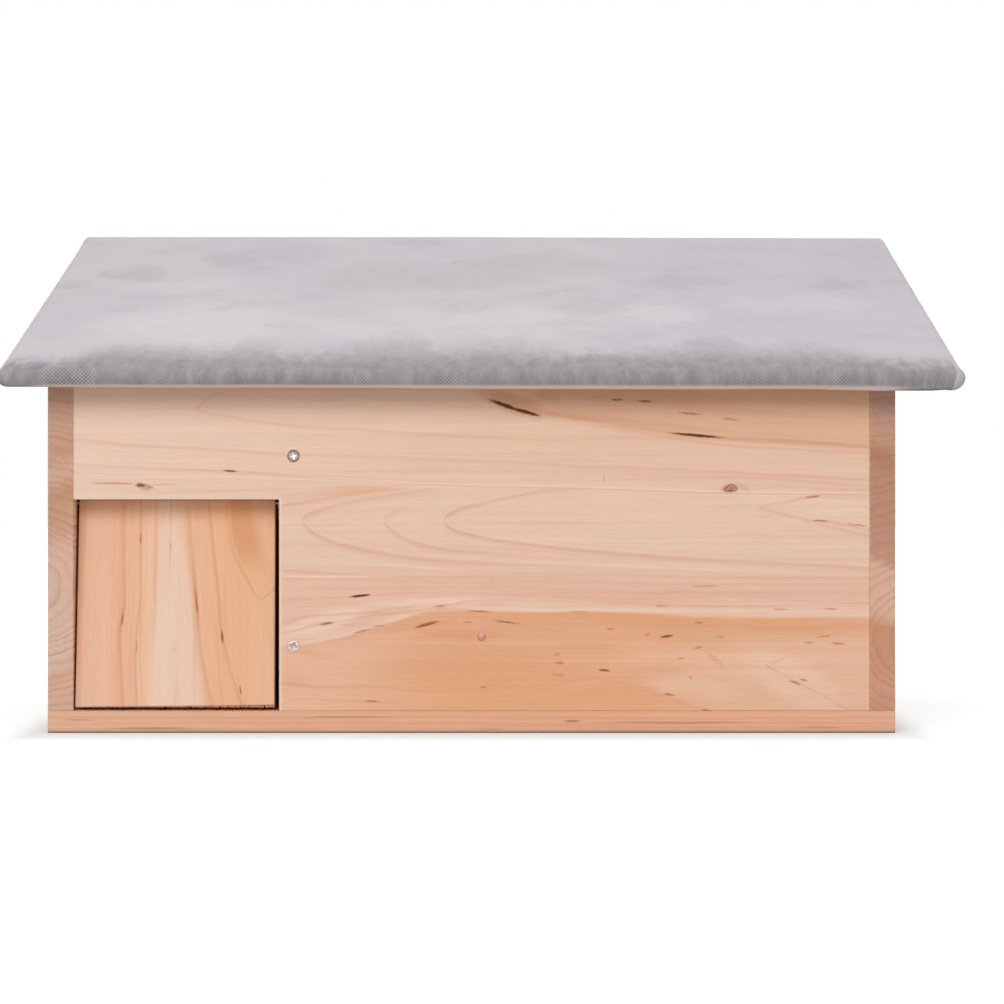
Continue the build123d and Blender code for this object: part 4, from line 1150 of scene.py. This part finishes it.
def screwPlaces(node, axis):
    # middles of the heads that look along the axis: the node's outermost points, grouped within one head's
    # width. With them comes how long the node is that way
    points = cadPoints(node)
    reach = points @ axis
    level = reach.max()
    flat = points[reach > level - 0.06]
    near = np.linalg.norm(flat[:, None] - flat[None], axis=2) < 9.0
    first = near.argmax(1)
    middles = [(flat[first == k].min(0) + flat[first == k].max(0)) / 2 for k in np.unique(first)]
    return middles, level - reach.min()


def makeScrews(name, node, axes, body, material, turns=None, keep=None, size=1.0, whole=True):
    # the same form at each place, turned a little differently
    d = screwShape
    turns = turns or d["turns"]
    points, faces, dirt, edges = [], [], [], []
    for axis in axes:
        axis = np.array(axis, float)
        side = np.cross(axis, (0.0, 0.3, 1.0) if abs(axis[2]) < 0.9 else (1.0, 0.0, 0.0))
        side /= np.linalg.norm(side)
        third = np.cross(axis, side)
        middles, length = screwPlaces(node, axis)
        if len(axes) > 1:
            length = d["shownLength"]
        sink = d["sinkBelow"] if axis[2] < -0.9 else d["sink"]
        for number, middle in enumerate(middles):
            if keep and not keep(middle):
                continue
            x, y, z, press, edge = screwForm(length / size)
            angle = math.radians(turns[number % len(turns)])
            a, b = x * math.cos(angle) - y * math.sin(angle), x * math.sin(angle) + y * math.cos(angle)
            spot = middle + (a[..., None] * side + b[..., None] * third + (z[..., None] - sink) * axis) * size
            faces.append(ringFaces(*x.shape) + len(points) * x.size)
            points.append(spot.reshape(-1, 3))
            dirt.append(press.ravel())
            edges.append(edge.ravel())
    piece = newPiece(name, np.concatenate(points), np.concatenate(faces).tolist(), body, material)
    addValues(piece, "dirt", np.concatenate(dirt))
    addValues(piece, "edge", np.concatenate(edges))
    closePoles(piece)
    if whole:
        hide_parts(node)


pinShape = {"radius": 2.5, "rise": 1.0, "proud": 0.8, "shank": 0.8, "shoulder": 9.0, "tip": 10.5, "round": 40}


def makePin(material):
    # a domed head, r = radius sin(a) and h = rise cos(a), over a thin shank with a point
    d = pinShape
    low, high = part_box("front_pin")
    middle = (np.array(low) + np.array(high)) * 500
    a = np.linspace(0, math.pi / 2, 12)
    radii = np.concatenate([d["radius"] * np.sin(a), [d["radius"] * 0.96, d["shank"], d["shank"], 0.0]])
    heights = np.concatenate([d["rise"] * np.cos(a) - 0.2, [-0.55, -0.6, -d["shoulder"], -d["tip"]]])
    x, y, z = turned(radii, heights, d["round"])[:3]
    spot = np.stack([middle[0] + x, low[1] * 1000 + d["proud"] - z, middle[2] + y], -1).reshape(-1, 3)
    piece = newPiece("front_pin_head", spot, ringFaces(*x.shape).tolist(), "root", material)
    closePoles(piece)
    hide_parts("front_pin")


# Torn fibres at the flap's foot, on the sill under it and at the notch's upright cut. A span of places is its
# left and right or its low and high; lengths are the longest
fringe = {
    "span": (-232.6, -115.6), "brown": tone(232, 176, 140), "dull": tone(208, 146, 108),
    "foot": {"count": 900, "length": 1.7},
    "sill": {"count": 1500, "length": 1.05, "depth": (-178.8, -178.0), "height": 12.95},
    "notch": {
        "count": 230, "length": 0.62, "headLength": 1.7, "side": -112.95, "span": (14.0, 136.9), "head": 11.0,
        "depth": (-178.8, -177.4),
    },
}


def tornWood():
    # brown where the saw has torn it: two tones mixed by fine noise
    made, f, shader = newMaterial("tornWood")
    x, y, z = millimetres(f)
    speck = f.cloud(x * 1.1, y * 1.1, z * 1.1, 3.0)
    finish(f, shader, (0.5 + speck * 0.5).mix(fringe["brown"], fringe["dull"]), 0.8)
    return made


def makeFibres(name, body, roots, ways, material):
    # thin three-sided splinters: a base triangle round each root and a tip along its way
    length = np.linalg.norm(ways, axis=1, keepdims=True)
    side = np.cross(ways, (0.31, 0.87, 0.38))
    side /= np.linalg.norm(side, axis=1, keepdims=True)
    third = np.cross(ways / length, side)
    wide = 0.12 + 0.2 * np.abs(np.sin(np.arange(len(roots)) * 5.1))[:, None]
    base = [roots + (side * math.cos(a) + third * math.sin(a)) * wide - ways * 0.3 for a in (0.0, 2.1, 4.2)]
    points = np.stack(base + [roots + ways], 1).reshape(-1, 3)
    first = np.arange(len(roots))[:, None] * 4
    faces = np.concatenate([first + np.array(t) for t in ((0, 2, 1), (0, 1, 3), (1, 2, 3), (2, 0, 3))])
    piece = newPiece(name, points, faces.tolist(), body, material)
    closePoles(piece)


def tornFibres(frontMaterial):
    # random places along each cut, and ways that lean at random about the way its fibres stand out
    rng = np.random.default_rng(4)
    left, right = fringe["span"]
    brown = tornWood()

    d = fringe["foot"]
    count = d["count"]
    arris = cadPoints("entrance_flap")
    arris = arris[np.argmin(arris[:, 1] + arris[:, 2] * 0.05)]
    x = rng.uniform(left, right, count)
    inwards = rng.uniform(0.12, 0.6, count)
    roots = np.stack([x, arris[1] + inwards, arris[2] + 0.15 - inwards * 0.12], 1)
    long = d["length"] * rng.uniform(0.3, 1.0, count)
    ways = np.stack([rng.normal(0, 0.25, count) * long, rng.normal(0.05, 0.12, count) * long, -long], 1)
    makeFibres("flap_foot_fibres", "flap", roots, ways, brown)

    d = fringe["sill"]
    count = d["count"]
    x = rng.uniform(left, right + 1.6, count)
    roots = np.stack([x, rng.uniform(*d["depth"], count), np.full(count, d["height"])], 1)
    long = rng.uniform(0.3, d["length"], count)
    ways = np.stack([rng.normal(0, 0.5, count) * long, rng.normal(0, 0.2, count) * long, long], 1)
    makeFibres("sill_fibres", "root", roots, ways, brown)

    d = fringe["notch"]
    count = d["count"]
    z = rng.uniform(*d["span"], count)
    byHead = z > d["span"][1] - d["head"]
    long = np.where(byHead, d["headLength"], d["length"]) * rng.uniform(0.3, 1.0, count)
    roots = np.stack([np.full(count, d["side"]), rng.uniform(*d["depth"], count), z], 1)
    tilt = rng.normal(0, 0.12, count)
    rise = np.where(byHead, -0.9, rng.normal(0, 0.3, count))
    makeFibres("notch_fibres", "root", roots, np.stack([-long * 0.9, tilt * long, rise * long], 1),
               frontMaterial)


print("building the felt")
makeFelt()

print("screws, pin and torn fibres")
zinc, stainedAndShaded = metalMaterial("brightZinc"), metalMaterial("stainedAndShadedZinc")
front, rear, below = (0, -1, 0), (0, 1, 0), (0, 0, -1)
underLid = (0, slopeSin, -slopeCos)
small = screwShape["hingeSize"]
makeScrews("front_screw_upper", "front_screws", [front], "root", stainedAndShaded, [12],
           lambda place: place[2] > 100, whole=False)
makeScrews("front_screw_lower", "front_screws", [front], "root", zinc, [-14],
           lambda place: place[2] < 100)
makeScrews("back_screw_heads", "back_screws", [rear], "root", zinc)
makeScrews("side_screw_heads", "side_screws", [(-1, 0, 0), (1, 0, 0)], "root", zinc)
makeScrews("floor_screw_heads", "floor_screws", [below], "root", zinc)
makeScrews("hinge_back_screw_heads", "hinge_back_screws", [rear], "root", zinc, size=small)
makeScrews("hinge_lid_screw_heads", "hinge_lid_screws", [underLid], "lid", zinc, size=small)
makePin(metalMaterial("pinSteel"))
frontMaterial = frontBoardWood()
tornFibres(frontMaterial)

print("wood and metal on the packed pieces")
finishes = {
    "front_panel": frontMaterial, "entrance_flap": flapBoardWood(), "floor_board": floorBoardWood(),
    "left_side_panel": sideBoardWood(sideWood["left"]), "right_side_panel": sideBoardWood(sideWood["right"]),
}
for name, values in hiddenWood.items():
    finishes[name] = hiddenBoardWood(values)
hingeZinc, wire, steel = metalMaterial("hingeZinc"), metalMaterial("stapleWire"), metalMaterial("nailSteel")
for name in nodes:
    if "hinge" in name and "screws" not in name:
        finishes[name] = hingeZinc
    elif "staples" in name:
        finishes[name] = wire
    elif "nail" in name:
        finishes[name] = steel
for name, material in finishes.items():
    mesh = nodes[name].data
    if not mesh.materials:
        mesh.materials.append(material)
    for k in range(len(mesh.materials)):
        mesh.materials[k] = material

print("floor, light and camera")
# floor is how much light the ground gives back, and ground its tint. glow lifts the ground to the white of
# the room: beside, before and far each hold where a lift starts, where it is full, and how strong it is
stage = {
    "floor": 0.7, "ground": (0.955, 1.04, 1.075), "low": -0.00005, "glow": 0.2,
    "beside": (0.249, 0.279, 0.27), "before": (0.186, 0.285, 0.34), "far": (0.45, 1.3, 0.65),
    "sky": 0.56,
    "lamps": [  # name, place, aim, size, power
        ("keyLamp", (-0.5, -2.6, 1.68), (0, -0.1, 0.15), (2.2, 1.4), 43.0),
        ("topLamp", (0.1, 0.1, 2.4), (0, 0.1, 0.2), (1.8, 1.8), 5.4),
        ("rearLamp", (0.8, 2.6, 1.5), (0, 0.1, 0.15), (2.0, 1.4), 14.0),
    ],
}


def whiteRays(field):
    # 1 for camera, glossy and transmission rays, which see the plain white room
    path = field.node("ShaderNodeLightPath")
    return path.most(path.other("Is Glossy Ray")).most(path.other("Is Transmission Ray"))


def makeGround():
    # a wide square under the house. Its glow is the largest of three smooth steps, by the distance to the
    # side, to the front or back, and from the middle, for the rays that see the room
    low = stage["low"]
    mesh = bpy.data.meshes.new("ground")
    mesh.from_pydata([(-12, -9, low), (12, -9, low), (12, 15, low), (-12, 15, low)], [], [(0, 1, 2, 3)])
    ground = bpy.data.objects.new("ground", mesh)
    bpy.context.scene.collection.objects.link(ground)
    paint, f, shader = newMaterial("paleGround")
    finish(f, shader, tuple(stage["floor"] * c for c in stage["ground"]) + (1.0,), 0.9)
    spot = f.node("ShaderNodeTexCoord", {}, {}, "Object")
    x, y = spot.parts()[:2]
    lift = None
    for distance, (start, full, strength) in ((abs(x), stage["beside"]), (abs(y), stage["before"]),
                                              (spot.length(), stage["far"])):
        step = distance.ramp(start, full) * strength
        lift = step if lift is None else lift.most(step)
    glow = whiteRays(f) * (lift + stage["glow"])
    shader.inputs["Emission Strength"].default_value = 1.0
    f.tree.links.new(glow.socket, shader.inputs["Emission Color"])
    mesh.materials.append(paint)


def makeRoom():
    # a plain sky that lights the object with one strength and shows white to the rays that see it
    world = bpy.data.worlds.new("room")
    bpy.context.scene.world = world
    world.use_nodes = True
    world.node_tree.nodes.clear()
    f = Field(world.node_tree)
    strength = whiteRays(f) * (1.0 - stage["sky"]) + stage["sky"]
    air = f.node("ShaderNodeBackground", {}, {0: (1, 1, 1, 1), 1: strength})
    end = world.node_tree.nodes.new("ShaderNodeOutputWorld")
    world.node_tree.links.new(air.socket, end.inputs[0])


def addLamp(name, place, aim, size, power):
    # a soft rectangle of light turned from its place to its aim
    light = bpy.data.lights.new(name, "AREA")
    light.shape = "RECTANGLE"
    light.size, light.size_y = size
    light.energy = power
    lamp = bpy.data.objects.new(name, light)
    bpy.context.scene.collection.objects.link(lamp)
    lamp.location = place
    way = np.array(aim) - np.array(place)
    tip = math.atan2(math.hypot(way[0], way[1]), -way[2])
    lamp.rotation_euler = (tip, 0.0, math.atan2(way[0], -way[1]) + math.pi)


makeGround()
makeRoom()
for values in stage["lamps"]:
    addLamp(*values)

# millimetres, and metres for the place
lens = {"focal": 117.79, "sensor": 36.0, "place": (0.0179, -2.109, 0.1357)}
eye = bpy.data.cameras.new("eye")
eye.sensor_width = lens["sensor"]
eye.lens = lens["focal"]
camera = bpy.data.objects.new("eye", eye)
camera.location = lens["place"]
camera.rotation_euler = (math.pi / 2, 0.0, 0.0)
bpy.context.scene.collection.objects.link(camera)
bpy.context.scene.camera = camera
bpy.context.scene.view_settings.view_transform = "Standard"
